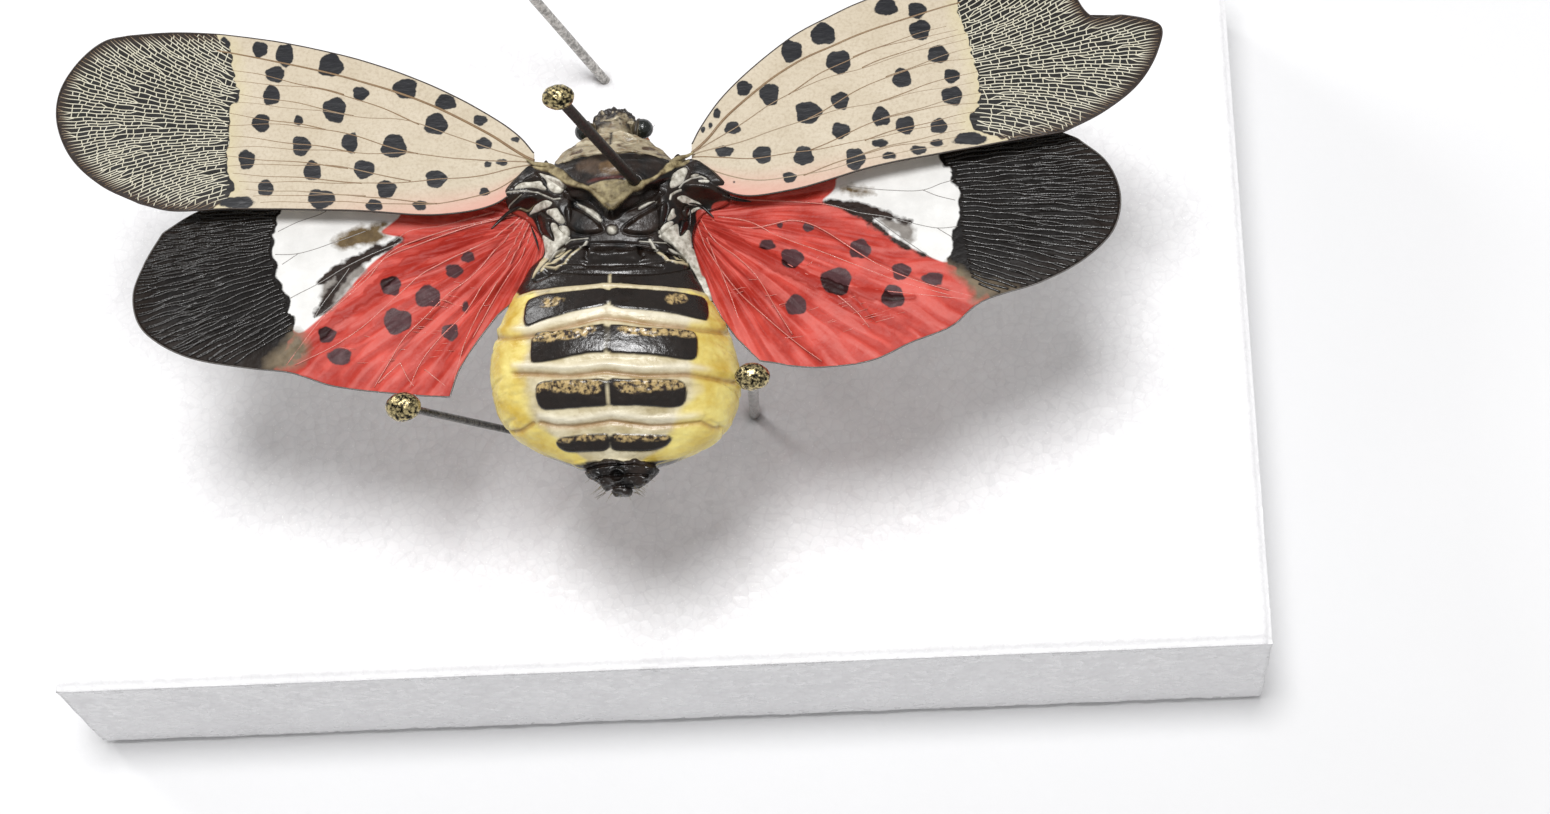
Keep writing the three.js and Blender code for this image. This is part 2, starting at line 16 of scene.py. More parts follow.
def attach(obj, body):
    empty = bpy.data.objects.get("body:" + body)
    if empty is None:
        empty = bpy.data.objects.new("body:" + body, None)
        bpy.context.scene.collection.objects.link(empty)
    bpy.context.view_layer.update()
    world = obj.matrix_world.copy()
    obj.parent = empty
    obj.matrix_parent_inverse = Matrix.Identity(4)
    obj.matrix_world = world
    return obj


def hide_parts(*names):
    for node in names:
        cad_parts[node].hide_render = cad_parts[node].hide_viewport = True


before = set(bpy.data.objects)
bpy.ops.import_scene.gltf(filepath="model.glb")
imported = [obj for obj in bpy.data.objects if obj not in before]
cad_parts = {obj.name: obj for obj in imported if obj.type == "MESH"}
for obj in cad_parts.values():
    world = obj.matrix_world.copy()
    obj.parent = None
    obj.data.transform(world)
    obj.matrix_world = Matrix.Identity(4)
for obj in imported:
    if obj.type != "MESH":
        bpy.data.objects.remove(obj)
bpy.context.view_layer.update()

MM = 0.001
INSECT = np.array([0.0, -4.5, 28.0])
AXIS_X = 0.15
FOAM_TOP = -18.0
ROOT = "root"

# Camera: the photograph's viewing angle and framing
FRAME_WIDTH = 1550
FRAME_HEIGHT = 814
AZIMUTH = math.radians(10)
ELEVATION = math.radians(68)
ROLL = math.radians(-11.85)
LENS = 80.0
SENSOR = 36.0
DISTANCE = 152.0
TARGET = np.array([7.282, -8.964, 0.0])


def camera_axes():
    back = np.array(
        [
            math.sin(AZIMUTH) * math.cos(ELEVATION),
            -math.cos(AZIMUTH) * math.cos(ELEVATION),
            math.sin(ELEVATION),
        ]
    )
    level = np.cross([0, 0, 1], back)
    level /= np.linalg.norm(level)
    upright = np.cross(back, level)
    right = math.cos(ROLL) * level + math.sin(ROLL) * upright
    up = -math.sin(ROLL) * level + math.cos(ROLL) * upright
    return right, up, back


RIGHT, UP, BACK = camera_axes()
EYE_POINT = TARGET + DISTANCE * BACK
FOCAL = LENS / SENSOR * FRAME_WIDTH
PIXELS_PER_MM = FOCAL / DISTANCE


def project(points):
    """Where the camera sees points, in the photograph's pixels."""
    away = points - EYE_POINT
    depth = -(away @ BACK)
    x = FRAME_WIDTH / 2 + FOCAL * (away @ RIGHT) / depth
    y = FRAME_HEIGHT / 2 - FOCAL * (away @ UP) / depth
    return np.stack([x, y], -1)


def seen(pixels, height):
    """The points at which the photograph's pixels meet a surface given as height(x, y)."""
    pixels = np.asarray(pixels, float)
    ray = (pixels[:, :1] - FRAME_WIDTH / 2) * RIGHT - (pixels[:, 1:] - FRAME_HEIGHT / 2) * UP
    ray = ray / FOCAL - BACK
    z = np.zeros(len(pixels))
    for _ in range(12):
        points = EYE_POINT + (z[:, None] - EYE_POINT[2]) / ray[:, 2:] * ray
        z = height(points[:, 0], points[:, 1])
    points[:, 2] = z
    return points


class Crop:
    """A zoomed view of the photograph."""

    def __init__(self, left, top, zoom):
        self.corner = np.array([left, top], float)
        self.zoom = zoom

    def see(self, points):
        return (project(points) - self.corner) * self.zoom

    def pixels(self, places):
        return self.corner + np.asarray(places, float) / self.zoom

    def find(self, places, height):
        return seen(self.pixels(places), height)

    def mm(self, length):
        return length / (self.zoom * PIXELS_PER_MM)


WHOLE_LEFT = Crop(40, 0, 2.6133)
WHOLE_RIGHT = Crop(560, 0, 2.3758)
NET_LEFT = Crop(50, 20, 5.4069)
NET_RIGHT = Crop(930, 0, 6.0308)
HIND_LEFT = Crop(130, 190, 3.6465)
HIND_RIGHT = Crop(690, 120, 3.5636)
THORAX = Crop(480, 90, 5.6)
ABDOMEN = Crop(470, 240, 5.2267)


# Numbers
def smoothstep(low, high, value):
    t = np.clip((np.asarray(value, float) - low) / (high - low), 0, 1)
    return t * t * (3 - 2 * t)


def hump(distance, width):
    return np.exp(-((distance / width) ** 2))


def grain(points, size, seed=0.0):
    """Smooth noise from -1 to 1 with lumps about size across, at points of two or three coordinates."""
    spot = np.asarray(points, float) / size
    cell = np.floor(spot)
    part = spot - cell
    part = part * part * (3 - 2 * part)
    total = np.zeros(spot.shape[:-1])
    salt = np.array([127.1, 311.7, 74.7])[: spot.shape[-1]]
    for corner in itertools.product((0, 1), repeat=spot.shape[-1]):
        draw = np.sin((cell + corner) @ salt + seed * 17.3) * 43758.5453
        weight = np.where(np.array(corner) == 1, part, 1 - part).prod(-1)
        total += weight * (2 * (draw - np.floor(draw)) - 1)
    return total


def layered(points, size, seed=0.0, layers=3):
    return sum(grain(points, size / 2**k, seed + k) / 2**k for k in range(layers))


def profile(rows):
    """Smooth curve through rows of (position, value)."""
    x, y = np.array(rows, float).T
    ahead = np.minimum(np.arange(len(x)) + 1, len(x) - 1)
    behind = np.maximum(np.arange(len(x)) - 1, 0)
    slope = (y[ahead] - y[behind]) / (x[ahead] - x[behind])

    def at(value):
        value = np.clip(np.asarray(value, float), x[0], x[-1])
        i = np.clip(np.searchsorted(x, value, side="right") - 1, 0, len(x) - 2)
        w = x[i + 1] - x[i]
        t = (value - x[i]) / w
        a = (2 * t**3 - 3 * t**2 + 1) * y[i] + (t**3 - 2 * t**2 + t) * w * slope[i]
        return a + (3 * t**2 - 2 * t**3) * y[i + 1] + (t**3 - t**2) * w * slope[i + 1]

    return at


def rounded(outline, rounds=2):
    """An outline with its corners cut."""
    line = np.asarray(outline, float)
    for _ in range(rounds):
        after = np.roll(line, -1, 0)
        line = np.stack([0.75 * line + 0.25 * after, 0.25 * line + 0.75 * after], 1).reshape(-1, 2)
    return line


def distance_to(places, line, closed=False):
    """Distance to an open line, or signed distance to a closed outline, which is negative inside."""
    line = np.asarray(line, float)
    ends = np.roll(line, -1, 0) if closed else line[1:]
    starts = line if closed else line[:-1]
    x, y = places[..., 0], places[..., 1]
    best = np.full(x.shape, np.inf)
    within = np.zeros(x.shape, bool)
    for (ax, ay), (bx, by) in zip(starts, ends):
        dx, dy = bx - ax, by - ay
        t = np.clip(((x - ax) * dx + (y - ay) * dy) / max(dx * dx + dy * dy, 1e-12), 0, 1)
        best = np.minimum(best, (x - ax - t * dx) ** 2 + (y - ay - t * dy) ** 2)
        if closed and ay != by:
            within ^= ((ay > y) != (by > y)) & (x < ax + (y - ay) / (by - ay) * dx)
    return np.where(within, -1, 1) * np.sqrt(best)


def region(crop, points, outline):
    """Signed distance in millimetres from points to an outline drawn in a crop."""
    return crop.mm(distance_to(crop.see(points), rounded(outline), closed=True))


def stroke(crop, points, line):
    return crop.mm(distance_to(crop.see(points), line))


def curve_through(rows, count=400):
    """A centripetal curve through rows of points, at evenly spaced lengths."""
    rows = np.asarray(rows, float)
    rows = np.vstack([2 * rows[0] - rows[1], rows, 2 * rows[-1] - rows[-2]])
    dense = []
    for p0, p1, p2, p3 in zip(rows, rows[1:], rows[2:], rows[3:]):
        k0 = 0.0
        k1 = k0 + max(np.linalg.norm(p1 - p0), 1e-9) ** 0.5
        k2 = k1 + max(np.linalg.norm(p2 - p1), 1e-9) ** 0.5
        k3 = k2 + max(np.linalg.norm(p3 - p2), 1e-9) ** 0.5
        t = np.linspace(k1, k2, 24, endpoint=False)[:, None]
        a1 = (k1 - t) / (k1 - k0) * p0 + (t - k0) / (k1 - k0) * p1
        a2 = (k2 - t) / (k2 - k1) * p1 + (t - k1) / (k2 - k1) * p2
        a3 = (k3 - t) / (k3 - k2) * p2 + (t - k2) / (k3 - k2) * p3
        b1 = (k2 - t) / (k2 - k0) * a1 + (t - k0) / (k2 - k0) * a2
        b2 = (k3 - t) / (k3 - k1) * a2 + (t - k1) / (k3 - k1) * a3
        dense.append((k2 - t) / (k2 - k1) * b1 + (t - k1) / (k2 - k1) * b2)
    dense.append(rows[-2][None])
    dense = np.vstack(dense)
    run = np.concatenate([[0], np.cumsum(np.linalg.norm(np.diff(dense, axis=0), axis=1))])
    even = np.linspace(0, run[-1], count + 1)
    return np.stack([np.interp(even, run, dense[:, k]) for k in range(rows.shape[1])], 1)


# Meshes
class Build:
    """Gathers points, faces and per-point masks, then makes one piece of them."""

    def __init__(self):
        self.points = []
        self.faces = []
        self.slots = []
        self.masks = []
        self.count = 0

    def add(self, points, faces, slot=0, **masks):
        points = np.asarray(points, float).reshape(-1, 3)
        faces = np.asarray(faces) + self.count
        self.points.append(points)
        self.faces += faces.tolist()
        self.slots += [slot] * len(faces)
        self.masks.append((len(points), masks))
        self.count += len(points)

    def add_mixed(self, points, faces, slot=0, **masks):
        """As add, for faces of several sizes."""
        self.points.append(points)
        self.faces += [[k + self.count for k in face] for face in faces]
        self.slots += [slot] * len(faces)
        self.masks.append((len(points), masks))
        self.count += len(points)

    def piece(self, name, looks, stands_for=(), offset=INSECT, flat=False):
        mesh = bpy.data.meshes.new(name)
        places = (np.vstack(self.points) + offset) * MM
        mesh.from_pydata(places.tolist(), [], self.faces)
        names = sorted({key for _, masks in self.masks for key in masks})
        for key in names:
            values = np.concatenate(
                [np.broadcast_to(np.ravel(masks.get(key, 0.0)), count) for count, masks in self.masks]
            )
            layer = mesh.attributes.new(key, "FLOAT", "POINT")
            layer.data.foreach_set("value", values.astype(np.float32))
        for look in looks:
            mesh.materials.append(look)
        mesh.polygons.foreach_set("material_index", self.slots)
        mesh.polygons.foreach_set("use_smooth", [not flat] * len(mesh.polygons))
        mesh.update()
        thing = bpy.data.objects.new(name, mesh)
        bpy.context.scene.collection.objects.link(thing)
        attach(thing, ROOT)
        if stands_for:
            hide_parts(*stands_for)
        return thing


def grid_faces(rows, columns, wrap=False, start=0, flip=False):
    i, j = np.meshgrid(np.arange(rows - 1), np.arange(columns if wrap else columns - 1), indexing="ij")
    a = start + i * columns + j
    b = start + i * columns + (j + 1) % columns
    faces = np.stack([a, b, b + columns, a + columns], -1).reshape(-1, 4)
    return faces[:, ::-1] if flip else faces


def rim_of(rows, columns):
    """The points round the edge of a grid, in order."""
    index = np.arange(rows * columns).reshape(rows, columns)
    return np.concatenate([index[0, :-1], index[:-1, -1], index[-1, :0:-1], index[:0:-1, 0]])


def grid_normals(points, wrap=False):
    if wrap:
        padded = np.concatenate([points[:, -1:], points, points[:, :1]], 1)
        across = (padded[:, 2:] - padded[:, :-2]) / 2
    else:
        across = np.gradient(points, axis=1)
    along = np.gradient(points, axis=0)
    normal = np.cross(along, across)
    return normal / np.maximum(np.linalg.norm(normal, axis=-1, keepdims=True), 1e-12)


def slab(build, points, thickness, slot=0, **masks):
    """A closed sheet of the given thickness about a grid of points, its first side facing up."""
    rows, columns = points.shape[:2]
    normal = grid_normals(points)
    normal *= np.sign(normal[..., 2].mean())
    half = np.broadcast_to(np.asarray(thickness, float), (rows, columns))[..., None] / 2
    count = rows * columns
    upper = (points + normal * half).reshape(-1, 3)
    lower = (points - normal * half).reshape(-1, 3)
    a, b, c = points[0, 0], points[0, 1], points[1, 0]
    flip = np.cross(b - a, c - a)[2] < 0
    faces = [
        grid_faces(rows, columns, flip=flip),
        grid_faces(rows, columns, start=count, flip=not flip),
    ]
    rim = rim_of(rows, columns)
    after = np.roll(rim, -1)
    wall = np.stack([rim, rim + count, after + count, after], 1)
    faces.append(wall[:, ::-1] if flip else wall)
    doubled = {key: np.tile(np.ravel(value), 2) for key, value in masks.items()}
    build.add(np.vstack([upper, lower]), np.vstack(faces), slot, **doubled)


def tube(build, path, radius, sides=4, slot=0, squash=1.0, up=(0.0, 0.0, 1.0), **masks):
    """A closed round bar along a path, with pointed or blunt ends as its radii say."""
    path = np.asarray(path, float)
    count = len(path)
    radius = np.broadcast_to(np.asarray(radius, float), count)
    along = np.gradient(path, axis=0)
    along /= np.maximum(np.linalg.norm(along, axis=1, keepdims=True), 1e-12)
    side = np.cross(along, up)
    steep = np.linalg.norm(side, axis=1) < 0.05
    side[steep] = np.cross(along[steep], (0.0, 1.0, 0.0))
    side /= np.maximum(np.linalg.norm(side, axis=1, keepdims=True), 1e-12)
    top = np.cross(side, along)
    angle = 2 * np.pi * np.arange(sides) / sides
    ring = side[:, None] * np.cos(angle)[None, :, None]
    ring = ring + squash * top[:, None] * np.sin(angle)[None, :, None]
    points = path[:, None] + ring * radius[:, None, None]
    faces = grid_faces(count, sides, wrap=True, flip=True).tolist()
    last = (count - 1) * sides
    faces += [list(range(sides)), list(range(last + sides - 1, last - 1, -1))]
    ringed = {
        key: np.repeat(np.broadcast_to(np.ravel(value), count), sides) for key, value in masks.items()
    }
    build.add_mixed(points.reshape(-1, 3), faces, slot, **ringed)


# Looks
def tint(code):
    """A colour written as in a paint program, as the linear one that shaders use."""
    parts = [int(code[k : k + 2], 16) / 255 for k in (0, 2, 4)]
    linear = [p / 12.92 if p <= 0.04045 else ((p + 0.055) / 1.055) ** 2.4 for p in parts]
    return (*linear, 1.0)


class Look:
    """A procedural material. Sizes in it are millimetres on the piece."""

    def __init__(self, name):
        self.material = bpy.data.materials.new(name)
        self.material.use_nodes = True
        self.tree = self.material.node_tree
        self.shader = self.tree.nodes["Principled BSDF"]
        place = self.node("ShaderNodeTexCoord").outputs["Object"]
        scaled = self.node("ShaderNodeVectorMath", [place], operation="SCALE")
        scaled.inputs["Scale"].default_value = 1 / MM
        self.place = scaled.outputs[0]

    def node(self, kind, feeds=(), **settings):
        made = self.tree.nodes.new(kind)
        for key, value in settings.items():
            setattr(made, key, value)
        for socket, value in zip(made.inputs, feeds):
            self.feed(socket, value)
        return made

    def feed(self, socket, value):
        if isinstance(value, bpy.types.NodeSocket):
            self.tree.links.new(value, socket)
        elif value is not None:
            socket.default_value = value

    def sum(self, operation, first, second=0.5, clamp=False):
        return self.node("ShaderNodeMath", [first, second], operation=operation, use_clamp=clamp).outputs[0]

    def mix(self, amount, first, second, blend="MIX"):
        made = self.node("ShaderNodeMix", data_type="RGBA", blend_type=blend)
        self.feed(made.inputs[0], amount)
        self.feed(made.inputs[6], tint(first) if isinstance(first, str) else first)
        self.feed(made.inputs[7], tint(second) if isinstance(second, str) else second)
        return made.outputs[2]

    def span(self, value, low, high, start=0.0, end=1.0):
        return self.node("ShaderNodeMapRange", [value, low, high, start, end]).outputs[0]

    def stretched(self, scale):
        return self.node("ShaderNodeVectorMath", [self.place, scale], operation="MULTIPLY").outputs[0]

    def noise(self, size, detail=3.0, at=None, roughness=0.55):
        made = self.node("ShaderNodeTexNoise")
        self.feed(made.inputs["Vector"], at or self.place)
        made.inputs["Scale"].default_value = 1 / size
        made.inputs["Detail"].default_value = detail
        made.inputs["Roughness"].default_value = roughness
        return made.outputs[0]

    def cells(self, size, feature="F1", at=None, output="Distance"):
        made = self.node("ShaderNodeTexVoronoi", feature=feature)
        self.feed(made.inputs["Vector"], at or self.place)
        made.inputs["Scale"].default_value = 1 / size
        return made.outputs[output]

    def mask(self, name):
        return self.node("ShaderNodeAttribute", attribute_name=name, attribute_type="GEOMETRY").outputs["Fac"]

    def within(self, name, soft=0.03, ragged=0.0, size=0.25):
        """1 where a signed distance mask is negative."""
        value = self.mask(name)
        if ragged:
            shift = self.sum("MULTIPLY", self.sum("SUBTRACT", self.noise(size), 0.5), ragged)
            value = self.sum("ADD", value, shift)
        return self.span(value, soft, -soft)

    def bump(self, height, distance, normal=None, strength=1.0):
        made = self.node("ShaderNodeBump")
        made.inputs["Strength"].default_value = strength
        made.inputs["Distance"].default_value = distance * MM
        self.feed(made.inputs["Height"], height)
        self.feed(made.inputs["Normal"], normal)
        return made.outputs[0]

    def done(self, colour, roughness, normal=None, fixed=None):
        self.feed(self.shader.inputs["Base Color"], colour)
        self.feed(self.shader.inputs["Roughness"], roughness)
        self.feed(self.shader.inputs["Normal"], normal)
        for socket, value in (fixed or {}).items():
            self.shader.inputs[socket].default_value = value
        return self.material


# Wings
def camber(y):
    return -0.006 * (y - 2) ** 2


def fore_height(x, y):
    out = np.abs(x) - 3
    return 0.5 + 0.06 * out - 0.0016 * out * out + camber(y)


def hind_height(x, y):
    out = np.abs(x) - 3
    return -0.6 + 0.045 * out - 0.0016 * out * out + camber(y)


class Wing:
    """A wing's sheet, stretched between its four margins: u runs from the root out, v from rear to front."""

    def __init__(self, side, leading, outer, trailing, height, root=None):
        self.side = side
        self.leading = curve_through(leading)
        self.outer = curve_through(outer)
        self.trailing = curve_through(trailing)
        self.height = height
        self.root = root
        rim = [self.trailing[::4], self.outer[::4], self.leading[::-4]]
        self.outline = np.vstack(rim)

    def plan(self, u, v):
        u, v = np.broadcast_arrays(np.asarray(u, float), np.asarray(v, float))

        def on(curve, t):
            spots = np.linspace(0, 1, len(curve))
            return np.stack([np.interp(t, spots, curve[:, k]) for k in (0, 1)], -1)

        u1, v1 = u[..., None], v[..., None]
        low, high = self.trailing[0], self.leading[0]
        far_low, far_high = self.trailing[-1], self.leading[-1]
        sheet = on(self.trailing, u) * (1 - v1) + on(self.leading, u) * v1
        sheet = sheet + (low + (high - low) * v1) * (1 - u1) + on(self.outer, v) * u1
        corners = low * (1 - u1) * (1 - v1) + high * (1 - u1) * v1
        return sheet - corners - far_low * u1 * (1 - v1) - far_high * u1 * v1

    def level(self, x, y):
        return self.height(x, y) + self.relief(x, y)

    def relief(self, x, y):
        """Pleats that spread from the root of a hind wing; a fore wing is only a little uneven."""
        places = np.stack([x, y], -1)
        if self.root is None:
            return 0.03 * layered(places, 2.6, 5 + self.side)
        dx, dy = (x - self.root[0]) * self.side, y - self.root[1]
        reach = np.hypot(dx, dy)
        turn = np.degrees(np.arctan2(-dy, dx)) + 2.2 * grain(places, 5, 3)
        height = 0.1 * smoothstep(0.2, 2.0, reach) * (1 - 0.9 * smoothstep(4, 10, reach))
        height = height * smoothstep(6, 20, turn)
        folds = np.abs((turn / PLEAT_TURN + 0.35 * np.sin(turn / 9)) % 1 * 2 - 1) * 2 - 1
        return height * folds + 0.05 * layered(places, 3.0, 8)

    def wrinkles(self, places):
        """Fine wrinkles of a hind wing, which run out from its root."""
        dx, dy = (places[..., 0] - self.root[0]) * self.side, places[..., 1] - self.root[1]
        turn = np.degrees(np.arctan2(-dy, dx)) + 1.5 * grain(places, 2.5, 4)
        return layered(np.stack([turn / 1.7, np.hypot(dx, dy) / 2.2], -1), 1.0, 9, 3)

    def at(self, u, v):
        plan = self.plan(u, v)
        return np.concatenate([plan, self.level(plan[..., 0], plan[..., 1])[..., None]], -1)

    def over(self, plan, lift=0.0):
        plan = np.asarray(plan, float)
        return np.concatenate([plan, self.level(plan[..., 0], plan[..., 1])[..., None] + lift], -1)


PLEAT_TURN = 7.5
LEFT = -1
RIGHT_SIDE = 1

FORE_WINGS = {
    "left": Wing(
        LEFT,
        [[-3.45, 3.75], [-4.2, 4.7], [-6, 6.1], [-8.7, 7.7], [-12.3, 9.2], [-16.8, 10.4], [-20.4, 10.9],
         [-22.6, 10.85]],
        [[-21.5, 2.0], [-23.3, 3.0], [-24.8, 4.5], [-25.6, 6.4], [-25.6, 8.0], [-24.8, 9.6], [-23.7, 10.6],
         [-22.6, 10.85]],
        [[-3.45, 2.85], [-3.9, 2.35], [-5.2, 1.3], [-7.6, 0.85], [-12, 1.2], [-17.2, 1.5], [-20, 1.55],
         [-21.5, 2.0]],
        fore_height,
    ),
    "right": Wing(
        RIGHT_SIDE,
        [[3.75, 3.8], [4.2, 4.7], [5.5, 6.5], [8.4, 9.05], [10, 9.95], [11.7, 10.75], [15.5, 11.9],
         [19, 12.3], [21.2, 12.0]],
        [[20.6, 3.3], [22.4, 4.2], [24, 5.5], [25, 7.2], [25.2, 8.5], [23.6, 9.15], [22.2, 9.15],
         [21.5, 10.2], [21.2, 12.0]],
        [[3.75, 2.75], [4.1, 2.4], [4.8, 1.7], [6, 1.1], [8.3, 1.2], [12.1, 2.1], [16.9, 2.8], [20.6, 3.3]],
        fore_height,
    ),
}
HIND_WINGS = {
    "left": Wing(
        LEFT,
        [[-3.4, 1.55], [-5, 2.15], [-7, 2.4], [-12, 2.7], [-16, 2.8], [-19, 2.1], [-20.7, 1.1]],
        [[-7.4, -7.4], [-9.3, -7.2], [-12.6, -6.7], [-14.6, -6.0], [-16.4, -5.7], [-19.1, -5.1],
         [-20.7, -4.3], [-21.6, -3.4], [-21.95, -2.0], [-21.5, -0.4], [-20.7, 1.1]],
        [[-3.05, -0.6], [-3.2, -1.3], [-3.85, -2.2], [-5.6, -4.1], [-6.9, -6.0], [-7.4, -7.4]],
        hind_height,
        root=(-3.0, 0.9),
    ),
    "right": Wing(
        RIGHT_SIDE,
        [[3.5, 1.25], [7, 2.3], [12, 3.6], [16.5, 4.4], [19.5, 4.3], [21.2, 3.6]],
        [[6.6, -6.35], [8.9, -6.8], [11.6, -6.6], [13.3, -5.9], [15.2, -5.2], [16.5, -4.2], [19.4, -3.3],
         [21.3, -2.3], [22.6, -1.0], [23, 0.6], [22.5, 2.3], [21.2, 3.6]],
        [[3.45, -0.8], [3.75, -1.5], [4.15, -2.7], [4.75, -3.9], [5.55, -5.2], [6.6, -6.35]],
        hind_height,
        root=(3.1, 0.9),
    ),
}

# Spots as read in the two wide crops: middle, width and height
SPOTS = {
    "fore_left": (WHOLE_LEFT, [
        (925, 383, 65, 62), (683, 382, 48, 52), (770, 288, 60, 66), (712, 447, 46, 52), (847, 443, 54, 48),
        (810, 373, 42, 52), (1035, 325, 60, 56), (905, 495, 50, 46), (955, 232, 62, 52),
        (1060, 268, 55, 40), (1150, 315, 38, 28), (1243, 365, 22, 14), (1160, 376, 42, 30),
        (1170, 430, 20, 16), (1208, 425, 30, 18), (1162, 502, 26, 22), (1035, 468, 55, 46),
        (993, 537, 36, 26), (873, 537, 44, 30), (735, 520, 70, 50), (515, 530, 90, 32), (590, 492, 42, 42),
        (540, 418, 42, 52), (578, 322, 46, 48), (676, 315, 24, 26), (838, 245, 42, 36), (615, 195, 50, 42),
        (605, 250, 44, 52), (575, 130, 40, 42), (640, 145, 46, 60), (760, 172, 64, 60), (483, 118, 26, 40),
        (510, 250, 24, 40),
    ]),
    "fore_right": (WHOLE_RIGHT, [
        (775, 18, 55, 40), (848, 25, 44, 38), (855, 72, 50, 48), (625, 82, 58, 52), (550, 122, 50, 52),
        (662, 148, 58, 56), (898, 130, 50, 42), (437, 210, 36, 36), (498, 225, 46, 52), (812, 186, 44, 46),
        (931, 181, 38, 34), (932, 228, 50, 44), (373, 270, 18, 24), (357, 299, 10, 14), (340, 309, 10, 14),
        (410, 305, 38, 30), (590, 268, 62, 52), (666, 240, 42, 42), (763, 278, 42, 46), (667, 311, 44, 38),
        (820, 298, 46, 42), (900, 300, 40, 36), (390, 360, 42, 26), (481, 368, 44, 42), (579, 371, 46, 46),
        (702, 378, 46, 52), (760, 341, 38, 20), (782, 370, 34, 18), (852, 357, 38, 22), (895, 340, 30, 18),
        (975, 330, 80, 30), (545, 422, 32, 26), (414, 433, 6, 6),
    ]),
    "hind_left": (WHOLE_LEFT, [
        (1118, 672, 34, 30), (1082, 708, 44, 36), (917, 747, 54, 50), (1014, 776, 66, 58),
        (934, 840, 74, 66), (1072, 868, 44, 44), (1112, 803, 18, 30), (750, 875, 46, 42),
        (783, 932, 62, 44), (668, 925, 30, 30),
    ]),
    "hind_right": (WHOLE_RIGHT, [
        (492, 582, 38, 26), (551, 614, 54, 46), (657, 668, 72, 65), (561, 725, 50, 48), (590, 541, 26, 22),
        (523, 536, 14, 14), (713, 592, 50, 46), (811, 645, 44, 40), (886, 663, 50, 32), (791, 705, 54, 54),
    ]),
}

# Where the fine network starts, as read in its own crops
NET_BORDERS = {
    "left": (NET_LEFT, [
        (880, -60), (890, 60), (930, 110), (985, 180), (985, 240), (1000, 330), (1025, 380), (1010, 430),
        (975, 470), (965, 560), (975, 640), (960, 700), (950, 780), (965, 850), (1010, 900), (960, 960),
        (900, 1000), (820, 1100), (-300, 1300), (-300, -300),
    ]),
    "right": (NET_RIGHT, [
        (165, -400), (165, 80), (190, 140), (215, 210), (240, 260), (250, 330), (275, 400), (290, 460),
        (300, 520), (300, 590), (285, 650), (240, 700), (240, 760), (330, 815), (560, 860), (900, 900),
        (1900, 900), (1900, -400),
    ]),
}
NET_AXES = {"left": (NET_LEFT, (1000, 560), (38, 475)), "right": (NET_RIGHT, (270, 400), (1390, 200))}

# Colour fields of the hind wings, as read in their crops
HIND_FIELDS = {
    "left": (HIND_LEFT, {
        "black": [
            (590, -60), (560, 75), (530, 95), (545, 130), (520, 160), (528, 200), (515, 225), (540, 270),
            (530, 310), (550, 350), (585, 395), (575, 430), (600, 465), (605, 500), (575, 570), (540, 640),
            (480, 700), (-200, 900), (-200, -200),
        ],
        "white": [
            (560, 20), (1000, 20), (990, 95), (950, 125), (905, 158), (960, 168), (1008, 176), (940, 222),
            (870, 278), (820, 335), (770, 398), (720, 440), (680, 480), (605, 540), (560, 440), (500, 300),
            (480, 160), (520, 90),
        ],
        "smear": [
            (740, 180), (800, 150), (900, 122), (955, 118), (908, 160), (962, 166), (900, 192), (850, 203),
            (780, 215), (748, 216),
        ],
        "band": [
            (1015, 163), (930, 192), (860, 222), (790, 258), (740, 282), (686, 328), (690, 348), (720, 332),
            (760, 312), (700, 400), (655, 478), (690, 466), (730, 428), (760, 370), (800, 300), (860, 262),
            (930, 226), (1000, 192),
        ],
        "patch": [
            (690, 350), (760, 300), (820, 276), (874, 270), (822, 335), (772, 398), (720, 442), (690, 464),
            (700, 400),
        ],
        "olive": [
            (600, 500), (620, 520), (660, 560), (640, 620), (590, 655), (480, 660), (520, 600), (570, 560),
        ],
        "fold": [
            (1440, 92), (1300, 130), (1100, 205), (950, 275), (860, 370), (700, 490), (600, 620),
            (740, 510), (880, 400), (1000, 300), (1150, 225), (1320, 150),
        ],
    }),
    "right": (HIND_RIGHT, {
        "black": [
            (860, 60), (885, 130), (900, 160), (930, 180), (940, 200), (925, 215), (940, 230), (960, 260),
            (950, 290), (965, 330), (955, 370), (935, 400), (945, 430), (930, 470), (915, 510), (960, 540),
            (1020, 580), (1060, 620), (1100, 700), (1800, 900), (1800, -300),
        ],
        "white": [
            (520, 200), (650, 140), (750, 100), (885, 90), (980, 160), (1000, 300), (970, 480), (915, 512),
            (870, 495), (800, 464), (740, 432), (680, 388), (620, 345), (560, 318), (490, 302), (468, 287),
            (500, 264), (520, 240),
        ],
        "smear": [(535, 234), (590, 236), (650, 248), (668, 268), (600, 273), (540, 260)],
        "band": [
            (465, 288), (520, 283), (600, 292), (660, 312), (720, 333), (780, 355), (800, 368), (760, 373),
            (700, 353), (650, 348), (700, 395), (760, 436), (830, 476), (885, 502), (800, 478), (740, 448),
            (680, 405), (620, 352), (540, 318), (480, 303),
        ],
        "patch": [
            (655, 345), (720, 352), (790, 370), (806, 395), (795, 425), (790, 446), (740, 415), (690, 378),
        ],
        "olive": [
            (915, 505), (960, 530), (1020, 562), (1100, 590), (1180, 600), (1110, 622), (1060, 640),
            (1000, 650), (1020, 610), (950, 560),
        ],
        "fold": [
            (20, 310), (150, 400), (300, 490), (420, 545), (560, 590), (680, 615), (840, 632), (700, 655),
            (560, 628), (440, 595), (300, 545), (150, 452), (50, 370),
        ],
    }),
}
